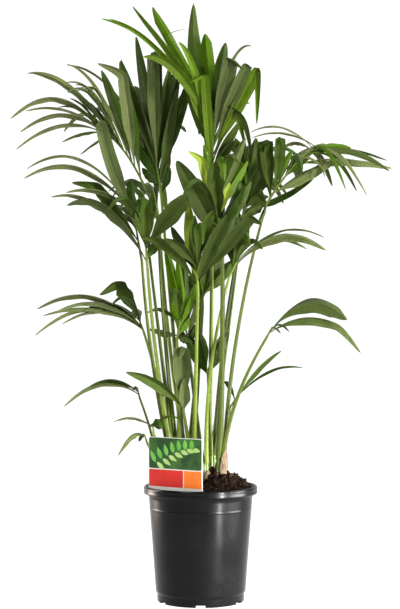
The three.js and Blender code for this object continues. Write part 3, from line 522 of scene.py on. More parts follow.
            (0.7, 350, 119, 38, 29, 37, 50, 22, 18), (0.5, 5, 127, 16, 19, 32, 40, 44, 54),
            (0.9, 75, 80, -10, 6, 8, 0), (0.6, 290, 90, 0, 14, 8, 10),
        ],
    },
    "small_right": {
        "small": True, "stem": "right", "side": 100, "end": (55, 20, 355), "bow": 0,
        "rib": (0, 15, 22, 0), "stalk": "light", "tints": "gdd",
        "leaflets": [
            (0.8, 350, 84, 88, 12, 14, -40), (1, 8, 124, 50, 22, 10, 25), (0.6, 115, 50, 30, 15, 14, 0),
        ],
    },
    "behind_right": {
        "stem": "back_right", "side": 350, "end": (84, 60, 720), "bow": -9,
        "rib": (0, 8, 91, 0), "stalk": "dark", "tints": "bddgbgggdg",
        "leaflets": [
            (1, 195, 60, 147, 45, 18, 40), (0.1, 335, 56, 91, 8, 38, -65),
            (0.08, 350, 130, 58, -6, 22, 45), (0.5, 160, 35, 50, 5, 26, 0), (0.4, 110, 40, 70, 10, 26, 0),
            (0.6, 70, 160, 40, 40, 22, 0), (0.8, 110, 150, 45, 40, 22, 0), (0.9, 40, 150, 20, 40, 20, 10),
            (0.7, 88, 130, 60, 38, 20, 0), (0.1, 345, 45, 20, 8, 18, -60),
        ],
        "finer": [
            (0.6, 15, 16, 88, 2, 26, 50), (0.9, 170, 26, 60, 4, 20, -60),
        ],
        "finer_tints": "gg",
    },
    "behind_left": {
        "stem": "left", "side": 195, "end": (-107, -35, 623), "bow": -7,
        "rib": (180, 17, 96, 0), "stalk": "dark", "tints": "sssmgsgg",
        "leaflets": [
            (0.95, 186, 199, 59, 52, 22, 20), (1, 172, 200, 76, 57, 16, 8),
            (0.98, 205, 130, 28, 20, 18, 20), (1, 210, 66, 150, -22, 29, 70, 6, 10),
            (0.4, 184, 66, 96, 4, 35, 50, 56, -10), (0.3, 192, 162, 87, 36, 18, 20),
            (0.6, 110, 130, 20, 25, 22, 0), (0.8, 120, 110, 10, 24, 20, 5),
        ],
        "finer": [
            (0.8, 60, 16, 40, 2, 20, 45), (0.8, 120, 14, 76, 0, 28, 0),
        ],
        "finer_tints": "gd",
    },
    "behind_far_left": {
        "stem": "left", "side": 105, "end": (-95, 26, 633), "bow": 0,
        "rib": (180, 4, 30, 0), "stalk": "mid", "tints": "sggg",
        "leaflets": [
            (0.5, 350, 32, 12, 4, 16, 50), (0.7, 30, 60, 60, 25, 18, 20), (0.6, 100, 120, 60, 40, 20, 0),
            (0.9, 150, 110, 60, 40, 20, 0),
        ],
    },
    "behind_centre": {
        "stem": "middle", "side": 90, "end": (4, 60, 542), "bow": 0,
        "rib": (90, 3, 30, 0), "stalk": "dark", "tints": "gddg",
        "leaflets": [
            (0.3, 120, 30, 110, 5, 30, -30), (0.5, 50, 60, 120, 5, 34, 40),
            (0.6, 175, 56, 50, 5, 28, -70), (0.7, 15, 66, 70, 5, 30, 65),
        ],
    },
    "back_left": {
        "stem": "back_left", "side": 100, "end": (-78, 140, 670), "bow": -6,
        "rib": (100, 90, 90, 25), "stalk": "mid", "tints": "gdgsgfd",
        "leaflets": [
            (0.2, 150, 120, 70, 45, 22, -10), (0.4, 130, 150, 40, 50, 22, 0),
            (0.6, 120, 160, 0, 50, 22, 0), (0.8, 105, 170, -20, 50, 20, 0), (1, 92, 170, -30, 45, 20, 0),
            (0.9, 82, 150, -20, 45, 20, 0), (0.5, 95, 100, 80, 40, 20, 0),
        ],
    },
    "back_right": {
        "stem": "back_right", "side": 80, "end": (78, 130, 690), "bow": 0,
        "rib": (75, 90, 90, 25), "stalk": "mid", "tints": "gfgdgsg",
        "leaflets": [
            (0.2, 40, 100, 40, 40, 22, 10), (0.4, 50, 140, 20, 45, 22, 0), (0.6, 60, 160, -10, 45, 22, 0),
            (0.8, 80, 170, -20, 50, 20, 0), (1, 95, 170, -30, 45, 20, 0), (0.9, 110, 150, 0, 50, 20, 0),
            (0.5, 100, 100, 80, 40, 20, 0),
        ],
    },
    "back_top": {
        "stem": "back_left", "side": 345, "end": (10, 140, 790), "bow": 6,
        "rib": (88, 70, 80, 15), "stalk": "mid", "tints": "gdfgg",
        "leaflets": [
            (0.3, 50, 120, 90, 45, 20, 0), (0.4, 88, 120, 80, 45, 20, 0), (0.6, 75, 150, 60, 50, 20, 0),
            (0.8, 96, 150, 40, 50, 20, 0), (1, 90, 160, 0, 50, 20, 0),
        ],
    },
}

scene = bpy.context.scene
rng = random.Random(SEED)


# Materials. The numbers are the Mix node's sockets for colours.

MIX_FACTOR, MIX_FIRST, MIX_SECOND, MIX_RESULT = 0, 6, 7, 2


def rgba(colour):
    """A colour with its alpha. A number stands for a grey, and a node's output stays as it is."""
    if isinstance(colour, bpy.types.NodeSocket):
        return colour
    return (*colour, 1) if isinstance(colour, tuple) else (colour, colour, colour, 1)


def shade(colour, factor):
    return tuple(min(1.0, channel * factor) for channel in colour)


class Material:
    """A node material under construction. Its colours are as rgba() takes them."""

    def __init__(self, name, roughness, specular=0.5):
        self.result = bpy.data.materials.new(name)
        self.result.use_nodes = True
        self.tree = self.result.node_tree
        self.shader = self.tree.nodes["Principled BSDF"]
        self.set("Roughness", roughness)
        self.set("Specular IOR Level", specular)

    def fill(self, socket, value):
        if isinstance(value, bpy.types.NodeSocket):
            self.tree.links.new(value, socket)
        else:
            socket.default_value = value

    def set(self, name, value):
        self.fill(self.shader.inputs[name], value)

    def add(self, kind, settings=None, **inputs):
        node = self.tree.nodes.new("ShaderNode" + kind)
        for key, value in (settings or {}).items():
            setattr(node, key, value)
        for key, value in inputs.items():
            self.fill(node.inputs[key], value)
        return node

    def place(self):
        return self.add("TexCoord").outputs["Object"]

    def blade(self):
        """Millimetres across and along a leaflet, or the way round a stalk."""
        return self.add("UVMap", {"uv_map": "blade"}).outputs["UV"]

    def part(self, vector, axis):
        return self.add("SeparateXYZ", Vector=vector).outputs[axis]

    def noise(self, vector, scale=1.0, detail=3.0, rough=0.5, squeeze=None):
        if squeeze:
            vector = self.add("Mapping", Vector=vector, Scale=squeeze).outputs["Vector"]
        node = self.add("TexNoise", Vector=vector, Scale=scale, Detail=detail, Roughness=rough)
        return node.outputs["Fac"]

    def ramp(self, factor, *stops):
        node = self.add("ValToRGB", Fac=factor)
        elements = node.color_ramp.elements
        while len(elements) < len(stops):
            elements.new(0.5)
        for element, (position, colour) in zip(elements, stops):
            element.position = position
            element.color = rgba(colour)
        return node.outputs["Color"]

    def mix(self, factor, first, second, kind="MIX"):
        node = self.add("Mix", {"data_type": "RGBA", "blend_type": kind})
        self.fill(node.inputs[MIX_FACTOR], factor)
        self.fill(node.inputs[MIX_FIRST], rgba(first))
        self.fill(node.inputs[MIX_SECOND], rgba(second))
        return node.outputs[MIX_RESULT]

    def multiply(self, first, second):
        return self.mix(1.0, first, second, "MULTIPLY")

    def bump(self, height, strength, distance):
        node = self.add("Bump", Height=height, Strength=strength, Distance=distance)
        self.set("Normal", node.outputs["Normal"])


def leaf_material(name, colour, roughness):
    """Satin leaf: parallel veins along the blade, a paler midrib and slow changes of tone."""
    mat = Material(name, roughness, specular=0.15)
    mat.set("Specular Tint", LEAF_SHEEN)
    blade = mat.blade()
    veins = mat.noise(blade, detail=2.0, squeeze=(1.5, 0.008, 1))
    fine = mat.noise(blade, detail=1.0, squeeze=(5.0, 0.02, 1))
    tone = mat.noise(mat.place(), scale=14.0, detail=2.0)
    base = mat.ramp(tone, (0.3, shade(colour, 0.74)), (0.7, shade(colour, 1.28)))
    veined = mat.mix(mat.ramp(veins, (0.36, 0.0), (0.62, 1.0)), shade(colour, 0.42), base)
    threaded = mat.mix(mat.ramp(fine, (0.52, 0.0), (0.66, 0.6)), veined, shade(colour, 1.7))
    middle = mat.add("Math", {"operation": "ABSOLUTE"}, Value=mat.part(blade, "X")).outputs["Value"]
    midrib = mat.ramp(middle, (0.25, 1.0), (0.75, 0.0))
    mat.set("Base Color", mat.mix(midrib, threaded, shade(colour, MIDRIB_PALER)))
    mat.set("Roughness", mat.ramp(tone, (0.3, roughness - 0.05), (0.7, roughness + 0.08)))
    mat.bump(mat.mix(0.4, veins, fine), strength=0.8, distance=0.0004)
    return mat.result


def dry_material():
    mat = Material("dry_tip", 0.8, specular=0.3)
    veins = mat.noise(mat.blade(), squeeze=(2.0, 0.05, 1))
    mat.set("Base Color", mat.ramp(veins, (0.3, shade(DRY, 0.55)), (0.7, DRY)))
    mat.bump(veins, strength=0.5, distance=0.0004)
    return mat.result


def stalk_material(name, colour):
    """Smooth stalk: long fine streaks, a few darker scurfy flecks, and painted light and shade, with one
    side painted darker and the other painted lighter.
    """
    mat = Material(name, 0.42, specular=0.16)
    place = mat.place()
    streaks = mat.noise(place, detail=2.0, squeeze=(900, 900, 14))
    tone = mat.noise(place, scale=22.0, detail=2.0)
    flecks = mat.noise(place, scale=420.0, squeeze=(1, 1, 0.3))
    base = mat.ramp(tone, (0.3, shade(colour, 0.72)), (0.7, shade(colour, 1.25)))
    streaked = mat.mix(streaks, shade(colour, 0.70), base)
    # Painted shade and painted highlight: the colour is darkened on one side of the stalk and lightened
    # on the other, going by the way round it.
    around = mat.ramp(mat.part(mat.blade(), "X"), (0.15, 0.46), (0.5, 0.95), (0.85, 1.35))
    specks = mat.ramp(flecks, (0.62, 0.0), (0.70, 0.7))
    mat.set("Base Color", mat.mix(specks, mat.multiply(streaked, around), shade(colour, 0.40)))
    mat.bump(streaks, strength=0.4, distance=0.0004)
    return mat.result


def base_material():
    """Leaf bases: pale green, browner and more fibrous towards the soil."""
    mat = Material("leaf_base_green", 0.5)
    place = mat.place()
    streaks = mat.noise(place, squeeze=(700, 700, 9))
    patches = mat.noise(place, scale=90.0, squeeze=(1, 1, 0.4))
    low = mat.ramp(mat.part(place, "Z"), (0.222, 1.0), (0.252, 0.0))
    brown = mat.multiply(low, mat.mix(patches, 0.25, 1.0))
    green, tan = (mat.ramp(streaks, (0.3, dark), (0.7, light)) for dark, light in (BASE_GREEN, BASE_TAN))
    mat.set("Base Color", mat.mix(brown, green, tan))
    mat.bump(streaks, strength=0.7, distance=0.0008)
    return mat.result


def sheath_material():
    """Dry papery sheath: tan fibres with darker stains."""
    mat = Material("sheath_paper", 0.75, specular=0.3)
    place = mat.place()
    fibres = mat.noise(place, squeeze=(1300, 1300, 30))
    stains = mat.noise(place, scale=130.0, detail=4.0, squeeze=(1, 1, 0.5))
    base = mat.ramp(fibres, (0.34, SHEATH_TAN[0]), (0.68, SHEATH_TAN[1]))
    mat.set("Base Color", mat.mix(mat.ramp(stains, (0.46, 0.0), (0.62, 0.85)), base, SHEATH_STAIN))
    mat.bump(fibres, strength=0.8, distance=0.0006)
    return mat.result


def soil_material(name, tones):
    """Earth or bark: a coarse grain with damp patches."""
    mat = Material(name, 0.95, specular=0.04)
    place = mat.place()
    grain = mat.noise(place, scale=700.0, detail=4.0, rough=0.65)
    base = mat.ramp(grain, (0.35, tones[0]), (0.72, tones[1]))
    damp = mat.ramp(mat.noise(place, scale=95.0), (0.35, 0.45), (0.65, 1.0))
    mat.set("Base Color", mat.multiply(base, damp))
    mat.bump(grain, strength=1.0, distance=0.0015)
    return mat.result


def pot_material():
    """Black moulded plastic: satin, with a slow waviness, a stipple and dusty scuffs."""
    mat = Material("black_plastic", 0.26, specular=0.12)
    place = mat.place()
    flow = mat.noise(place, detail=1.0, squeeze=(22, 22, 9))
    cloud = mat.noise(place, scale=16.0, detail=4.0, rough=0.6)
    stipple = mat.noise(place, scale=1600.0, detail=2.0)
    scuffs = mat.noise(place, detail=5.0, rough=0.7, squeeze=(60, 60, 380))
    marks = mat.ramp(scuffs, (0.64, 0.0), (0.74, 0.6))
    near = mat.ramp(cloud, (0.50, 0.0), (0.66, 1.0))
    base = mat.ramp(cloud, (0.3, POT_BLACK[0]), (0.7, POT_BLACK[1]))
    mat.set("Base Color", mat.mix(mat.multiply(marks, near), base, POT_DUST))
    mat.set("Roughness", mat.ramp(cloud, (0.3, 0.20), (0.7, 0.30)))
    mat.bump(mat.mix(0.2, flow, stipple), strength=0.18, distance=0.0006)
    return mat.result


def print_material(name, tones, scale):
    """Glossy printed plastic with a soft change of tone and a fine print grain."""
    mat = Material(name, 0.32, specular=0.3)
    place = mat.place()
    grain = mat.noise(place, scale=2600.0, detail=1.0)
    base = mat.ramp(mat.noise(place, scale=scale, detail=2.0), (0.35, tones[0]), (0.65, tones[1]))
    mat.set("Base Color", mat.multiply(base, mat.ramp(grain, (0.3, 0.88), (0.7, 1.0))))
    mat.bump(grain, strength=0.05, distance=0.0001)
    return mat.result


def stage_material():
    """A floor that is lit until it reads as white."""
    mat = Material("pale_floor", 0.9, specular=0.1)
    tone = mat.noise(mat.place(), scale=1.5, detail=2.0)
    mat.set("Base Color", mat.ramp(tone, (0.3, 0.18), (0.7, 0.20)))
    mat.set("Emission Color", WHITE)
    mat.set("Emission Strength", 1.0)
    return mat.result


# Meshes.

def link(name, data):
    thing = bpy.data.objects.new(name, data)
    scene.collection.objects.link(thing)
    return thing


def turn_outwards(mesh):
    work = bmesh.new()
    work.from_mesh(mesh)
    bmesh.ops.recalc_face_normals(work, faces=work.faces)
    work.to_mesh(mesh)
    work.free()


def finish_piece(mesh, name, replaced, sharp):
    """Makes a mesh a piece of the body that stands for the nodes it replaces."""
    mesh.shade_smooth()
    mesh.set_sharp_from_angle(angle=math.radians(sharp))
    piece = link(name, mesh)
    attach(piece, BODY)
    if replaced:
        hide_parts(*sorted(replaced))


class Gather:
    """Collects closed solids that become one piece, and the nodes that the piece replaces."""

    def __init__(self, *replaced):
        self.points = []
        self.blade = []
        self.faces = []
        self.slots = []
        self.replaced = set(replaced)

    def loft(self, rings, blade=None, slot=None, tip=None):
        """Rings of points with the same count, closed at both ends. tip closes the last to a point."""
        first = len(self.points)
        size = len(rings[0])
        for i, ring in enumerate(rings):
            self.points.extend(ring)
            self.blade.extend(blade[i] if blade else [(0, 0)] * size)
        self.face([first + k for k in reversed(range(size))], slot)
        for i in range(len(rings) - 1):
            a = first + i * size
            b = a + size
            for k in range(size):
                n = (k + 1) % size
                self.face([a + k, a + n, b + n, b + k], slot, i, k)
        last = first + (len(rings) - 1) * size
        if tip is None:
            self.face([last + k for k in range(size)], slot, len(rings) - 1)
            return
        self.points.append(tip)
        self.blade.append(blade[-1][size // 4] if blade else (0, 0))
        for k in range(size):
            n = (k + 1) % size
            self.face([last + k, last + n, len(self.points) - 1], slot, len(rings) - 1, k)

    def face(self, corners, slot=None, step=0, around=0):
        self.faces.append(corners)
        self.slots.append(slot(step, around) if slot else 0)

    def mesh(self, name):
        mesh = bpy.data.meshes.new(name)
        mesh.from_pydata([point * MM for point in self.points], [], self.faces)
        turn_outwards(mesh)
        return mesh

    def piece(self, name, slot, *materials, sharp=40):
        mesh = self.mesh(name)
        for mat in materials:
            mesh.materials.append(mat)
        mesh.polygons.foreach_set("material_index", self.slots)
        layer = mesh.uv_layers.new(name="blade")
        for loop in mesh.loops:
            layer.data[loop.index].uv = self.blade[loop.vertex_index]
        finish_piece(mesh, name, self.replaced, sharp)


def tube(gather, points, radii, sides, facing, groove=0.0, tip=None, turn=0.0):
    """A round limb through points, with an optional groove along the side that faces facing."""
    angles = [TURN * k / sides for k in range(sides)]
    # The way round the limb, turned by turn; the stalk material paints its shaded and lit sides from it.
    around = [(0.5 + 0.5 * math.cos(a + turn), 0.5 + 0.5 * math.sin(a + turn)) for a in angles]
    rings = []
    for i, point in enumerate(points):
        tangent = (points[min(i + 1, len(points) - 1)] - points[max(i - 1, 0)]).normalized()
        side = facing.cross(tangent).normalized()
        front = tangent.cross(side)
        ring = []
        for angle in angles:
            radius = radii[i] * (1 - groove * max(0.0, math.cos(angle)) ** 4)
            ring.append(point + front * (radius * math.cos(angle)) + side * (radius * math.sin(angle)))
        rings.append(ring)
    gather.loft(rings, blade=[around] * len(rings), tip=tip)


# Curves.

def between(start, end, share):
    return start + (end - start) * share


def heading(degrees):
    return Vector((math.cos(math.radians(degrees)), math.sin(math.radians(degrees)), 0))


def upright(height):
    return Vector((0, 0, height))


def arched(start, direction, reach, rise, arch, t):
    """A rise from a start point in the upright plane of a heading, bulging upwards by the arch."""
    return start + direction * (reach * t) + upright(rise * t + 4 * arch * t * (1 - t))


def quadratic(start, control, end, u):
    return start * (1 - u) ** 2 + control * (2 * u * (1 - u)) + end * u ** 2


# Leaflets.

class Leaflet:
    def __init__(self, start, row, nudge=0):
        self.start = start
        self.direction = heading(row[1] + nudge)
        self.reach, self.rise, self.arch, self.width, self.roll = row[2:7]
        self.bend = row[7:9]

    def plain(self, t):
        return arched(self.start, self.direction, self.reach, self.rise, self.arch, t)

    def point(self, t):
        if not self.bend:
            return self.plain(t)
        if t <= KNEE:
            return self.plain(t / KNEE)
        out, drop = self.bend
        knee = self.plain(1)
        onward = self.direction * self.reach + upright(self.rise - 4 * self.arch)
        control = knee + onward.normalized() * (math.hypot(out, drop) * BEND_ROUND)
        end = knee + self.direction * out - upright(drop)
        return quadratic(knee, control, end, (t - KNEE) / (1 - KNEE))

    def half_width(self, t):
        """It widens fast from its base and narrows slowly to a point."""
        if t < WIDEST:
            return between(BASE_HALF_WIDTH, self.width / 2, math.sin(TURN / 4 * (t / WIDEST)) ** 2)
        onward = (t - WIDEST) / (1 - WIDEST)
        return self.width / 2 * max(0.0, math.cos(TURN / 4 * onward)) ** 0.55


def leaflet_section(s, half, fold, flutter):
    """Sideways and upward place of the blade's middle surface at s, from -1 to 1 across it."""
    span = abs(s) * half
    sideways = math.copysign(span * math.cos(fold), s)
    pleat = PLEATS.get(abs(s), 0) * min(1, half / PLEAT_HALF)
    return sideways, -span * math.sin(fold) + flutter * s * s + pleat


def add_leaflet(gather, leaf, node):
    across = ACROSS_NARROW if leaf.width <= NARROW else ACROSS
    left = Vector((-leaf.direction.y, leaf.direction.x, 0))
    phase = rng.uniform(0, TURN)
    waves = rng.uniform(5, 9)
    flutter = rng.uniform(0.03, 0.09)
    twist = rng.uniform(-8, 8)
    along = rng.uniform(0, 900)
    dry = rng.random() < DRY_SHARE
    rings = []
    blade = []
    last = leaf.point(0)
    for i in range(LEAFLET_STEPS):
        t = 1 - (1 - i / LEAFLET_STEPS) ** STEPS_TO_TIP
        middle = leaf.point(t)
        along += (middle - last).length
        last = middle
        tangent = (leaf.point(min(1, t + 0.01)) - leaf.point(max(0, t - 0.01))).normalized()
        roll = math.radians(leaf.roll + twist * math.sin(math.pi * t))
        side = Matrix.Rotation(roll, 3, tangent) @ left
        side = (side - tangent * side.dot(tangent)).normalized()
        normal = tangent.cross(side)
        half = FULLNESS * leaf.half_width(t)
        fold = math.radians(between(FOLD_MID, FOLD_BASE, max(0, 1 - t / FOLD_RUN) ** 2))
        ripple = flutter * half * math.sin(waves * t * math.pi + phase)
        upper = []
        lower = []
        for s in across:
            sideways, upwards = leaflet_section(s, half, fold, ripple)
            spot = middle + side * sideways + normal * upwards
            place = (s * half, along)
            if abs(s) == 1:
                upper.append((spot, place))
                continue
            thick = BLADE_THIN + BLADE_THICK * (1 - abs(s)) * min(1, half / THICK_HALF)
            if s == 0:
                thick += MIDRIB_RIDGE
            upper.append((spot + normal * (thick / 2), place))
            lower.append((spot - normal * (thick / 2), place))
        ring = upper + lower[::-1]
        rings.append([spot for spot, _ in ring])
        blade.append([place for _, place in ring])

    def slot(step, around):
        if dry and step >= LEAFLET_STEPS - DRY_STEPS:
            return DRY_TIP
        return UPPER if around < len(across) - 1 else UNDER

    gather.loft(rings, blade, slot, tip=leaf.point(1))
    gather.replaced.add(node)


def matched_leaflet(row, start, tips):
    """The leaflet as it stands in the frame: turned by the nudge whose tip the frame has."""
    for nudge in NUDGES:
        leaf = Leaflet(start, row, nudge)
        if tips.find(leaf.point(1))[2] < TIP_MATCH:
            return leaf
    return None


def tip_tree(node):
    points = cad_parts[node].data.vertices
    tree = kdtree.KDTree(len(points))
    for i, vertex in enumerate(points):
        tree.insert(vertex.co / MM, i)
    tree.balance()
    return tree


def build_leaflets():
    """The frame's leaflets, grown again with folds and pleats, and the finer ones beside them."""
    gathers = {letter: Gather() for letter in TINTS}
    missing = 0
    for name, frond in FRONDS.items():
        node = f"frond_{name}"
        tips = tip_tree(node)
        for row, letter in zip(frond["leaflets"], frond["tints"]):
            leaf = matched_leaflet(row, rib_point(frond, row[0]), tips)
            if leaf:
                add_leaflet(gathers[letter], leaf, node)
            else:
                missing += 1
        for row, letter in zip(frond.get("finer", ()), frond.get("finer_tints", "")):
            add_leaflet(gathers[letter], Leaflet(rib_point(frond, row[0]), row), node)
    print("leaflets without a match in the frame:", missing)
    dry = dry_material()
    for letter, (tint, upper, under) in TINTS.items():
        top = leaf_material(f"leaf_{tint}", upper, LEAF_ROUGHNESS)
        back = leaf_material(f"leaf_{tint}_under", under, UNDERSIDE_ROUGHNESS)
        gathers[letter].piece(f"leaflets_{tint}", "leaf", top, back, dry, sharp=50)


# Stalks, ribs and stems.

def foot_radius(frond):
    return SMALL_STALK_FOOT_RADIUS if frond.get("small") else STALK_FOOT_RADIUS


def top_radius(frond):
    return min(STALK_TOP_RADIUS, foot_radius(frond) - SMALL_STALK_TAPER)


def stem_axis(stem):
    return Vector((*stem["at"], 0))


def stem_foot(stem):
    return soil_height(*stem["at"]) - POCKET_DEPTH


def stalk_foot(frond):
    stem = STEMS[frond["stem"]]
    room = max(0, stem["top"] - foot_radius(frond) - STALK_INSET)
    return stem_axis(stem) + upright(stem["height"] + GAP) + heading(frond["side"]) * room


def stalk_point(frond, t):
    point = stalk_foot(frond).lerp(Vector(frond["end"]), t)
    point.x += 4 * frond["bow"] * t * (1 - t)
    return point


def rib_point(frond, t):
    turn, reach, rise, arch = frond["rib"]
    end = stalk_point(frond, 1)
    start = end + (end - stalk_point(frond, 0.9)).normalized() * GAP
    return arched(start, heading(turn), reach, rise, arch, t)


def inward(frond):
    """The way from the stalk's top back over its stem, which is where its groove faces."""
    way = stem_axis(STEMS[frond["stem"]]) - Vector((*frond["end"][:2], 0))
    return way.normalized() if way.length > 1 else heading(-90)


def build_stalks():
    gathers = {tint: Gather() for tint in STALK_TINTS}
    for name, frond in FRONDS.items():
        foot, top = foot_radius(frond), top_radius(frond)
        points = []
        radii = []
        for i in range(STALK_STEPS):
            t = i / STALK_STEPS
            points.append(stalk_point(frond, t))
            full = frond.get("full", 1) * between(STALK_FULLNESS, RIB_FULLNESS, t)
            radii.append(between(foot, top, t) * full)
        for i in range(RIB_STEPS + 1):
            t = i / RIB_STEPS
            points.append(rib_point(frond, t))
            radii.append(between(top * RIB_FULLNESS, RIB_TIP_RADIUS, t))
        tip = points[-1] + (points[-1] - points[-2]).normalized() * RIB_TIP_REACH
        gather = gathers[frond["stalk"]]
        # Each stalk's painted shade and painted highlight face a random way round it.
        tube(gather, points, radii, STALK_SIDES, inward(frond), STALK_GROOVE, tip, rng.uniform(0, TURN))
        gather.replaced.update((f"stalk_{name}", f"frond_{name}"))
    for tint, colour in STALK_TINTS.items():
        gathers[tint].piece(f"stalks_{tint}", "stalk", stalk_material(f"stalk_{tint}", colour))


def build_leaf_bases():
    """Each stem is a bundle of leaf bases round a core, one under each of its stalks."""
    gather = Gather(*(f"stem_{name}" for name in STEMS))
    for stem_name, stem in STEMS.items():
        axis, foot, low = stem_axis(stem), stem["foot"], stem_foot(stem)
        core = []
        radii = []
        for i in range(CORE_STEPS + 1):
            t = i / CORE_STEPS
            core.append(axis + upright(between(low, stem["height"], t)))
            radii.append(between(foot, stem["top"], t) * (CORE_SHARE - CORE_TAPER * t))
        tube(gather, core, radii, CORE_SIDES, heading(-90), tip=core[-1] + upright(CORE_TIP))
        for frond in FRONDS.values():
            if frond["stem"] != stem_name:
                continue
            head = stalk_foot(frond)
            side = heading(frond["side"])
            slim = foot_radius(frond) * BASE_SLIM
            points = []
            radii = []
            for i in range(BASE_STEPS + 1):
                t = i / BASE_STEPS
                ease = t * t * (3 - 2 * t)
                radius = between(foot * BASE_SHARE, slim, ease)
                away = between(foot - radius, (head - axis).to_2d().length, ease)
                points.append(axis + side * away + upright(between(low, head.z + BASE_OVERLAP, t)))
                radii.append(radius)
            tube(gather, points, radii, STALK_SIDES, -side, BASE_GROOVE)
    gather.piece("leaf_bases", "stem", base_material())


def build_sheaths():
    """Torn papery sheaths that stand round the feet of the stems."""
    gather = Gather()
    for name, middle, wrap, tall in SHEATHS:
        stem = STEMS[name]
        low = stem_foot(stem) + POCKET_DEPTH - SHEATH_ROOT
        seed = rng.uniform(0, 100)
        rings = []
        for i in range(SHEATH_COLUMNS + 1):
            off = i / SHEATH_COLUMNS - 0.5
            way = heading(middle + wrap * off)
            torn = 7 * noise.noise(Vector((seed, i * 0.45, 0)))
            torn += 4 * noise.noise(Vector((seed, i * 1.9, 5)))
            high = low + SHEATH_ROOT + tall * (1 - 3 * off ** 2) + torn
            outer = []
            inner = []
            for k in range(SHEATH_ROWS + 1):
                t = k / SHEATH_ROWS
                wavy = noise.noise(Vector((seed + i * 0.3, k * 0.7, 9)))
                radius = stem["foot"] + 0.5 + 1.6 * t ** 3 + 0.5 * wavy
                foot = stem_axis(stem) + upright(between(low, high, t))
                outer.append(foot + way * radius)
                inner.append(foot + way * (radius - SHEATH_THICK))
            rings.append(outer + inner[::-1])
        gather.loft(rings)
    gather.piece("papery_sheaths", "stem", sheath_material())


# Soil.

def soil_height(x, y):
    """The smooth mound, as in the frame."""
    share = min(1, math.hypot(x - SOIL_MOUND_AT[0], y - SOIL_MOUND_AT[1]) / SOIL_MOUND_RADIUS)
    return between(SOIL_EDGE_HEIGHT, SOIL_MOUND_HEIGHT, 0.5 + 0.5 * math.cos(math.pi * share))


def soil_radius(z):
    return wall_radius(z) - WALL_THICK - SOIL_GAP


def lump(x, y):
    """Waves of two lengths, at most about the lump's height."""
    coarse = math.sin(x * 0.11 + 1.3) * math.cos(y * 0.13 - 0.4)
    fine = math.sin(x * 0.31 + y * 0.17) * math.sin(y * 0.29 - x * 0.12 + 2)
    return SOIL_LUMP * (0.6 * coarse + 0.5 * fine)


def soil_surface(x, y):
    """The clumpy top: the mound and its lumps with crumbs of two sizes on them."""
    edge = min(1, max(0, (soil_radius(SOIL_TOP) - math.hypot(x, y)) / SOIL_EDGE_RUN))
    spot = Vector((x, y, 0))
    clods = 0.42 - noise.voronoi(spot / CLOD_SIZE)[0][0]
    crumbs = 0.42 - noise.voronoi(spot / CRUMB_SIZE + Vector((7, 3, 1)))[0][0]
    grit = noise.fractal(spot / GRIT_SIZE, 0.9, 2.1, 3)
    rough = 6.5 * clods + 2.6 * crumbs + 1.2 * grit
    return max(SOIL_TOP + 2, soil_height(x, y) + edge * (lump(x, y) + rough))


def soil_ring(radius, height):
    ring = []
    for k in range(SOIL_SECTORS):
        x, y = (heading(360 * k / SOIL_SECTORS) * radius)[:2]
        ring.append(Vector((x, y, height(x, y))))
    return ring


def build_soil():
    foot = FOOT_RADIUS - WALL_THICK - 2 * GAP
    sides = [
        (CHANNEL_INNER - 2.5, FLOOR_THICK + GAP), (CHANNEL_INNER + 2.5, CHANNEL_TOP + GAP),
        (foot, CHANNEL_TOP + GAP), (foot, FOOT_HEIGHT),
        (soil_radius(WALL_FOOT), WALL_FOOT + GAP), (soil_radius(SOIL_TOP), SOIL_TOP),
    ]
    rings = [soil_ring(radius, lambda x, y, z=z: z) for radius, z in sides]
    for i in range(SOIL_RINGS, 0, -1):
        rings.append(soil_ring((soil_radius(SOIL_TOP) - 0.5) * i / SOIL_RINGS, soil_surface))
    gather = Gather("soil")
    gather.loft(rings, tip=upright(soil_surface(0, 0)))
    gather.piece("soil_bed", "soil", soil_material("potting_soil", SOIL_BROWN), sharp=60)


def scatter():
    """A spot on the soil, more often on the mound than at its edge."""
    while True:
        x, y = (rng.gauss(middle * SCATTER_SHIFT, SCATTER_SPREAD) for middle in SOIL_MOUND_AT)
        if math.hypot(x, y) < soil_radius(SOIL_TOP) - SCATTER_EDGE:
            return x, y


def build_crumbs():
    """Loose clods and bits of bark on the soil, each a lump bent out of round by noise."""
    clods, bark = Gather(), Gather()
    ball = bmesh.new()
    bmesh.ops.create_icosphere(ball, subdivisions=2, radius=1)
    corners = [vertex.co.copy() for vertex in ball.verts]
    faces = [[vertex.index for vertex in face.verts] for face in ball.faces]
    ball.free()
    for _ in range(CRUMBS):
        x, y = scatter()
        size = rng.uniform(1.2, 3.0) if rng.random() < 0.75 else rng.uniform(3.0, 5.6)
        seed = Vector((rng.uniform(0, 99), rng.uniform(0, 99), 0))
        stretch = Vector((rng.uniform(0.7, 1.4), rng.uniform(0.7, 1.2), rng.uniform(0.5, 0.9)))
        turn = Matrix.Rotation(rng.uniform(0, CRUMB_SPIN), 3, "Z")
        turn @= Matrix.Rotation(rng.uniform(-0.6, 0.6), 3, "X")
        centre = Vector((x, y, soil_surface(x, y) + 0.25 * size))
        target = clods if rng.random() < 0.75 else bark
        first = len(target.points)
        for corner in corners:
            swell = 1 + 0.45 * noise.noise(corner * 1.3 + seed) + 0.2 * noise.noise(corner * 3.1 + seed)
            local = Vector(a * b for a, b in zip(corner * (size * swell), stretch))
            target.points.append(centre + turn @ local)
            target.blade.append((0, 0))
        for face in faces:
            target.face([first + index for index in face])
    clods.piece("soil_clods", "soil", soil_material("clods", CLOD_BROWN), sharp=70)
    bark.piece("bark_bits", "soil", soil_material("bark_bits", BARK_BROWN), sharp=70)


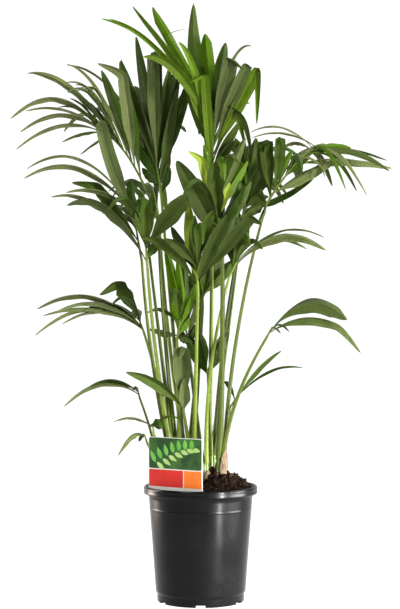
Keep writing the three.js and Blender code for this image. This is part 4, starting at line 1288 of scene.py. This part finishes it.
def build_fibres():
    """Thin tan fibres and root ends that lie on the soil."""
    gather = Gather()
    limit = soil_radius(SOIL_TOP) - FIBRE_EDGE
    for _ in range(FIBRES):
        centre = Vector((*scatter(), 0))
        long = rng.uniform(6, 20)
        way = heading(rng.uniform(0, 360))
        curl = heading(rng.uniform(0, 360)) * rng.uniform(1, 5)
        points = []
        for i in range(FIBRE_STEPS + 1):
            t = i / FIBRE_STEPS
            spot = centre + way * (long * (t - 0.5)) + curl * (4 * t * (1 - t))
            if spot.length > limit:
                spot *= limit / spot.length
            spot.z = soil_surface(spot.x, spot.y) + 0.6 + 1.4 * math.sin(math.pi * t)
            points.append(spot)
        radius = rng.uniform(0.28, 0.6)
        radii = [radius * (1 - 0.5 * i / FIBRE_STEPS) for i in range(FIBRE_STEPS + 1)]
        tube(gather, points, radii, FIBRE_SIDES, Vector((0.3, 0.2, 1)))
    gather.piece("soil_fibres", "soil", soil_material("root_fibres", FIBRE_TAN))


# The pot.

def wall_radius(z):
    return between(WALL_BOTTOM_RADIUS, WALL_TOP_RADIUS, (z - WALL_FOOT) / (RIM_UNDER - WALL_FOOT))


def rounded(profile, radius, steps=4):
    """The profile with each corner between its ends replaced by a small curve."""
    corners = [Vector(corner) for corner in profile]
    result = [corners[0]]
    for before, corner, after in zip(corners, corners[1:], corners[2:]):
        start = corner + (before - corner) * min(0.45, radius / (before - corner).length)
        end = corner + (after - corner) * min(0.45, radius / (after - corner).length)
        result += [quadratic(start, corner, end, i / steps) for i in range(steps + 1)]
    return result + [corners[-1]]


def build_pot():
    """The pot's section turned round its axis, with the drain notches and holes cut out of it."""
    line, line_radius = RING_LINE_HEIGHT, wall_radius(RING_LINE_HEIGHT) + RING_LINE_PROUD
    profile = [
        (CHANNEL_INNER - 6, 0), (CHANNEL_INNER, 0), (CHANNEL_INNER + CHANNEL_SLOPE, CHANNEL_UNDER),
        (CHANNEL_OUTER, CHANNEL_UNDER), (CHANNEL_OUTER, 0), (FOOT_RADIUS, 0),
        (FOOT_RADIUS + 0.5, FOOT_HEIGHT), (WALL_BOTTOM_RADIUS, WALL_FOOT),
        (wall_radius(line - 1.6), line - 1.6), (line_radius, line - 0.6),
        (line_radius, line + 0.6), (wall_radius(line + 1.6), line + 1.6),
        (wall_radius(RIM_UNDER - 7), RIM_UNDER - 7), (WALL_TOP_RADIUS + 0.6, RIM_UNDER - 2.5),
        (WALL_TOP_RADIUS + 1.8, RIM_UNDER), (RIM_RADIUS - 2.5, RIM_UNDER),
        (RIM_RADIUS, RIM_UNDER + 2), (RIM_RADIUS - 0.4, RIM_UNDER + RIM_BAND / 2),
        (RIM_RADIUS, POT_HEIGHT - 3), (RIM_RADIUS - 1.5, POT_HEIGHT),
        (RIM_RADIUS - RIM_THICK + 1, POT_HEIGHT), (RIM_RADIUS - RIM_THICK, POT_HEIGHT - 2),
        (WALL_TOP_RADIUS - WALL_THICK + 3, RIM_UNDER + 4), (WALL_TOP_RADIUS - WALL_THICK, RIM_UNDER),
        (WALL_BOTTOM_RADIUS - WALL_THICK, WALL_FOOT), (FOOT_RADIUS - WALL_THICK, FOOT_HEIGHT),
        (FOOT_RADIUS - WALL_THICK, CHANNEL_TOP), (CHANNEL_INNER + 3, CHANNEL_TOP),
        (CHANNEL_INNER - 1, FLOOR_THICK), (CHANNEL_INNER - 6, FLOOR_THICK),
    ]
    sides = [heading(360 * k / POT_SIDES) for k in range(POT_SIDES)]
    section = rounded(profile, EDGE_RADIUS)
    body = Gather()
    body.loft([[side * radius + upright(z) for side in sides] for radius, z in section])
    cutter = Gather()
    for i in range(NOTCHES):
        turn = 270 + 360 * i / NOTCHES
        add_notch(cutter, turn)
        add_hole(cutter, turn)
    mesh = cut_mesh(body, cutter)
    mesh.materials.append(pot_material())
    finish_piece(mesh, "nursery_pot", {"pot"}, sharp=32)


def add_notch(gather, turn):
    """A box with a rounded top, across the foot ring."""
    out, side = heading(turn), heading(turn + 90)
    half = NOTCH_WIDTH / 2
    top = CHANNEL_UNDER - NOTCH_ROOF
    outline = [(-half, -CUT_PAST), (half, -CUT_PAST)]
    outline += [(half, top - 2), (half - 0.6, top - 0.6), (half - 2, top)]
    outline += [(-x, z) for x, z in outline[:1:-1]]
    rings = []
    for reach in (CHANNEL_OUTER - 2, FOOT_RADIUS + CUT_PAST):
        rings.append([out * reach + side * across + upright(z) for across, z in outline])
    gather.loft(rings)


def add_hole(gather, turn):
    centre = heading(turn) * DRAIN_HOLE_RING
    ring = [centre + heading(360 * k / HOLE_SIDES) * DRAIN_HOLE_RADIUS for k in range(HOLE_SIDES)]
    gather.loft([[spot + upright(z) for spot in ring] for z in (-CUT_PAST, CHANNEL_TOP + CUT_PAST)])


def cut_mesh(body, cutter):
    """The first solid with the others cut out of it, as a new mesh in metres."""
    made = [link(name, gather.mesh(name)) for name, gather in (("body", body), ("cutter", cutter))]
    modifier = made[0].modifiers.new("cut", "BOOLEAN")
    modifier.object = made[1]
    modifier.operation = "DIFFERENCE"
    modifier.solver = "EXACT"
    graph = bpy.context.evaluated_depsgraph_get()
    result = bpy.data.meshes.new_from_object(made[0].evaluated_get(graph))
    for thing in made:
        bpy.data.objects.remove(thing)
    turn_outwards(result)
    return result


# The care card: a printed panel with a generic design of leaves and colour bands.

card_left, card_right = Vector((*CARD_LEFT, 0)), Vector((*CARD_RIGHT, 0))
card_along = (card_right - card_left).normalized()
card_face = Vector((card_along.y, -card_along.x, 0))
card_middle = (card_left + card_right) / 2
card_half = (card_right - card_left).length / 2


def plate(gather, outline, back, front, bevel):
    """A flat plate in the card's plane, from its outline, with its front edge bevelled."""
    corners = [Vector(corner) for corner in outline]
    centre = sum(corners, Vector((0, 0))) / len(corners)
    layers = [(corners, back)]
    if bevel:
        layers.append((corners, front - bevel))
        corners = [centre + (spot - centre) * (1 - bevel / (spot - centre).length) for spot in corners]
    layers.append((corners, front))
    rings = []
    for layer, out in layers:
        rings.append([card_middle + card_along * x + card_face * out + upright(z) for x, z in layer])
    gather.loft(rings)


def rounded_box(left, bottom, right, top, radius, steps=6):
    outline = []
    for x, z, turn in ((right, top, 0), (left, top, 90), (left, bottom, 180), (right, bottom, 270)):
        cx = x - math.copysign(radius, x - (left + right) / 2)
        cz = z - math.copysign(radius, z - (bottom + top) / 2)
        for i in range(steps + 1):
            spot = heading(turn + 90 * i / steps) * radius
            outline.append((cx + spot.x, cz + spot.y))
    return outline


def leaf_outline(x, z, turn, long, wide, steps=12):
    """A pointed oval leaf that starts at x, z and runs along the turn."""
    start, way, side = Vector((x, z, 0)), heading(turn), heading(turn + 90)
    edge = []
    for i in range(steps + 1):
        t = i / steps
        edge.append((t * long, wide / 2 * math.sin(math.pi * t ** 0.8) ** 0.9))
    outline = [start + way * a + side * b for a, b in edge]
    outline += [start + way * a - side * b for a, b in edge[-2:0:-1]]
    return [(spot.x, spot.y) for spot in outline]


def card_piece(name, outlines, mat, front, back=CARD_THICK / 2 - PRINT_SUNK, bevel=0.0, replaced=()):
    gather = Gather(*replaced)
    for outline in outlines:
        plate(gather, outline, back, front, bevel)
    gather.piece(name, "card", mat, sharp=30)


def build_card():
    face = CARD_THICK / 2
    panel = rounded_box(-card_half, CARD_BOTTOM, card_half, CARD_TOP, CARD_CORNER)
    half, shoulder = STAKE_WIDTH / 2, STAKE_TIP + STAKE_POINT
    stake = [
        (half, CARD_BOTTOM + 3), (-half, CARD_BOTTOM + 3), (-half, shoulder),
        (-STAKE_TIP_HALF, STAKE_TIP), (STAKE_TIP_HALF, STAKE_TIP), (half, shoulder),
    ]
    white = print_material("card_white", CARD_WHITE, 40.0)
    card_piece("care_card_panel", [panel, stake], white, face, -face, CARD_BEVEL, ["care_card"])
    inner = card_half - PRINT_MARGIN
    split = inner * BAND_SHARE
    field = rounded_box(-inner, FIELD_BOTTOM, inner, CARD_TOP - PRINT_MARGIN, 3)
    band = rounded_box(-inner, BANDS_BOTTOM, split, BANDS_TOP, 1.5)
    block = rounded_box(split + BAND_GAP, BANDS_BOTTOM, inner, BANDS_TOP, 1.5)
    for name, outline, colour, tones, scale in (
        ("card_field", field, "card_green", CARD_GREEN, 38.0),
        ("card_red_band", band, "card_red", CARD_RED, 30.0),
        ("card_orange_block", block, "card_orange", CARD_ORANGE, 30.0),
    ):
        card_piece(name, [outline], print_material(colour, tones, scale), face + PRINT_THICK)
    pale, fresh = [], []
    for i in range(PRINT_LEAVES):
        share = i / (PRINT_LEAVES - 1)
        x = -inner + 14 + 78 * share
        z = FIELD_BOTTOM + 11 + 26 * math.sin(math.pi * 0.5 * share)
        fresh.append(leaf_outline(x, z, 118 - 30 * share, 24 - 6 * share, 9))
        pale.append(leaf_outline(x + 3, z, -38 + 30 * share, 22 - 6 * share, 8))
    for leaves, kind, tones in ((pale, "pale", CARD_LEAF_PALE), (fresh, "fresh", CARD_LEAF_FRESH)):
        mat = print_material(f"card_leaf_{kind}", tones, 60.0)
        card_piece(f"card_leaves_{kind}", leaves, mat, face + 2 * PRINT_THICK)


# Stage, light and camera.

def build_stage():
    """A pale floor that curves up into a backdrop."""
    profile = [(-FLOOR_HALF, 0), (BACKDROP_AT, 0)]
    for i in range(1, BACKDROP_STEPS + 1):
        spot = heading(-90 + 90 * i / BACKDROP_STEPS) * BACKDROP_TURN
        profile.append((BACKDROP_AT + spot.x, BACKDROP_TURN + spot.y))
    profile.append((BACKDROP_AT + BACKDROP_TURN, BACKDROP_HEIGHT))
    points = [(x, y, z) for y, z in profile for x in (-FLOOR_HALF, FLOOR_HALF)]
    faces = [(2 * i, 2 * i + 1, 2 * i + 3, 2 * i + 2) for i in range(len(profile) - 1)]
    mesh = bpy.data.meshes.new("floor_and_backdrop")
    mesh.from_pydata(points, [], faces)
    mesh.materials.append(stage_material())
    mesh.shade_smooth()
    link("floor_and_backdrop", mesh)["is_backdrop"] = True


def area_light(name, place, target, width, height, power, spread, colour=(1, 1, 1)):
    lamp = bpy.data.lights.new(name, "AREA")
    lamp.shape = "RECTANGLE"
    lamp.size = width
    lamp.size_y = height
    lamp.energy = power
    lamp.spread = math.radians(spread)
    lamp.color = colour
    thing = link(name, lamp)
    thing.location = place
    thing.rotation_euler = (Vector(target) - Vector(place)).to_track_quat("-Z", "Y").to_euler()


def build_lights():
    world = bpy.data.worlds.new("studio")
    world.use_nodes = True
    sky = world.node_tree.nodes["Background"]
    sky.inputs["Color"].default_value = WHITE
    sky.inputs["Strength"].default_value = SKY_STRENGTH
    scene.world = world
    crown, sides, pot = (0, 0, 0.75), (0, 0, 0.5), (0, 0, 0.1)
    area_light("key", (-1.3, -2.2, 2.4), crown, 1.0, 1.0, 20, 120)
    area_light("strip", (1.75, -1.9, 0.75), (0, 0, 0.45), 0.11, 1.4, 29, 90)
    area_light("pot_edge", (0.37, -0.44, 0.1), (0, 0, 0.07), 0.02, 0.18, 0.6, 45)
    area_light("pot_side", (0.97, -0.24, 0.14), pot, 0.6, 0.24, 3.0, 60)
    area_light("pot_left", (-0.9, 0.42, 0.14), pot, 0.4, 0.24, 1.0, 60, (1.0, 0.82, 0.68))
    area_light("right_side", (2.1, -0.1, 0.9), sides, 0.9, 1.8, 27, 100)
    area_light("left_side", (-2.1, 0.5, 0.9), sides, 0.7, 1.6, 18, 100, (1.0, 0.92, 0.82))
    area_light("overhead", (0.2, 0.3, 2.7), crown, 1.4, 1.4, 11, 110)


def build_camera():
    lens = bpy.data.cameras.new("camera")
    lens.sensor_fit = "VERTICAL"
    lens.sensor_height = SENSOR
    lens.lens = LENS
    lens.shift_x = SHIFT_X
    lens.shift_y = SHIFT_Y
    scene.camera = link("camera", lens)
    scene.camera.location = (0, -CAMERA_DISTANCE, CAMERA_HEIGHT)
    scene.camera.rotation_euler = (math.pi / 2, 0, 0)
    scene.view_settings.view_transform = "Standard"


build_camera()
build_stage()
build_lights()
build_pot()
build_soil()
build_crumbs()
build_fibres()
build_card()
build_leaf_bases()
build_sheaths()
build_stalks()
build_leaflets()

boxes = {"cad": cad_box, "visual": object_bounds()}
{name: [list(corner) for corner in box] for name, box in boxes.items()}
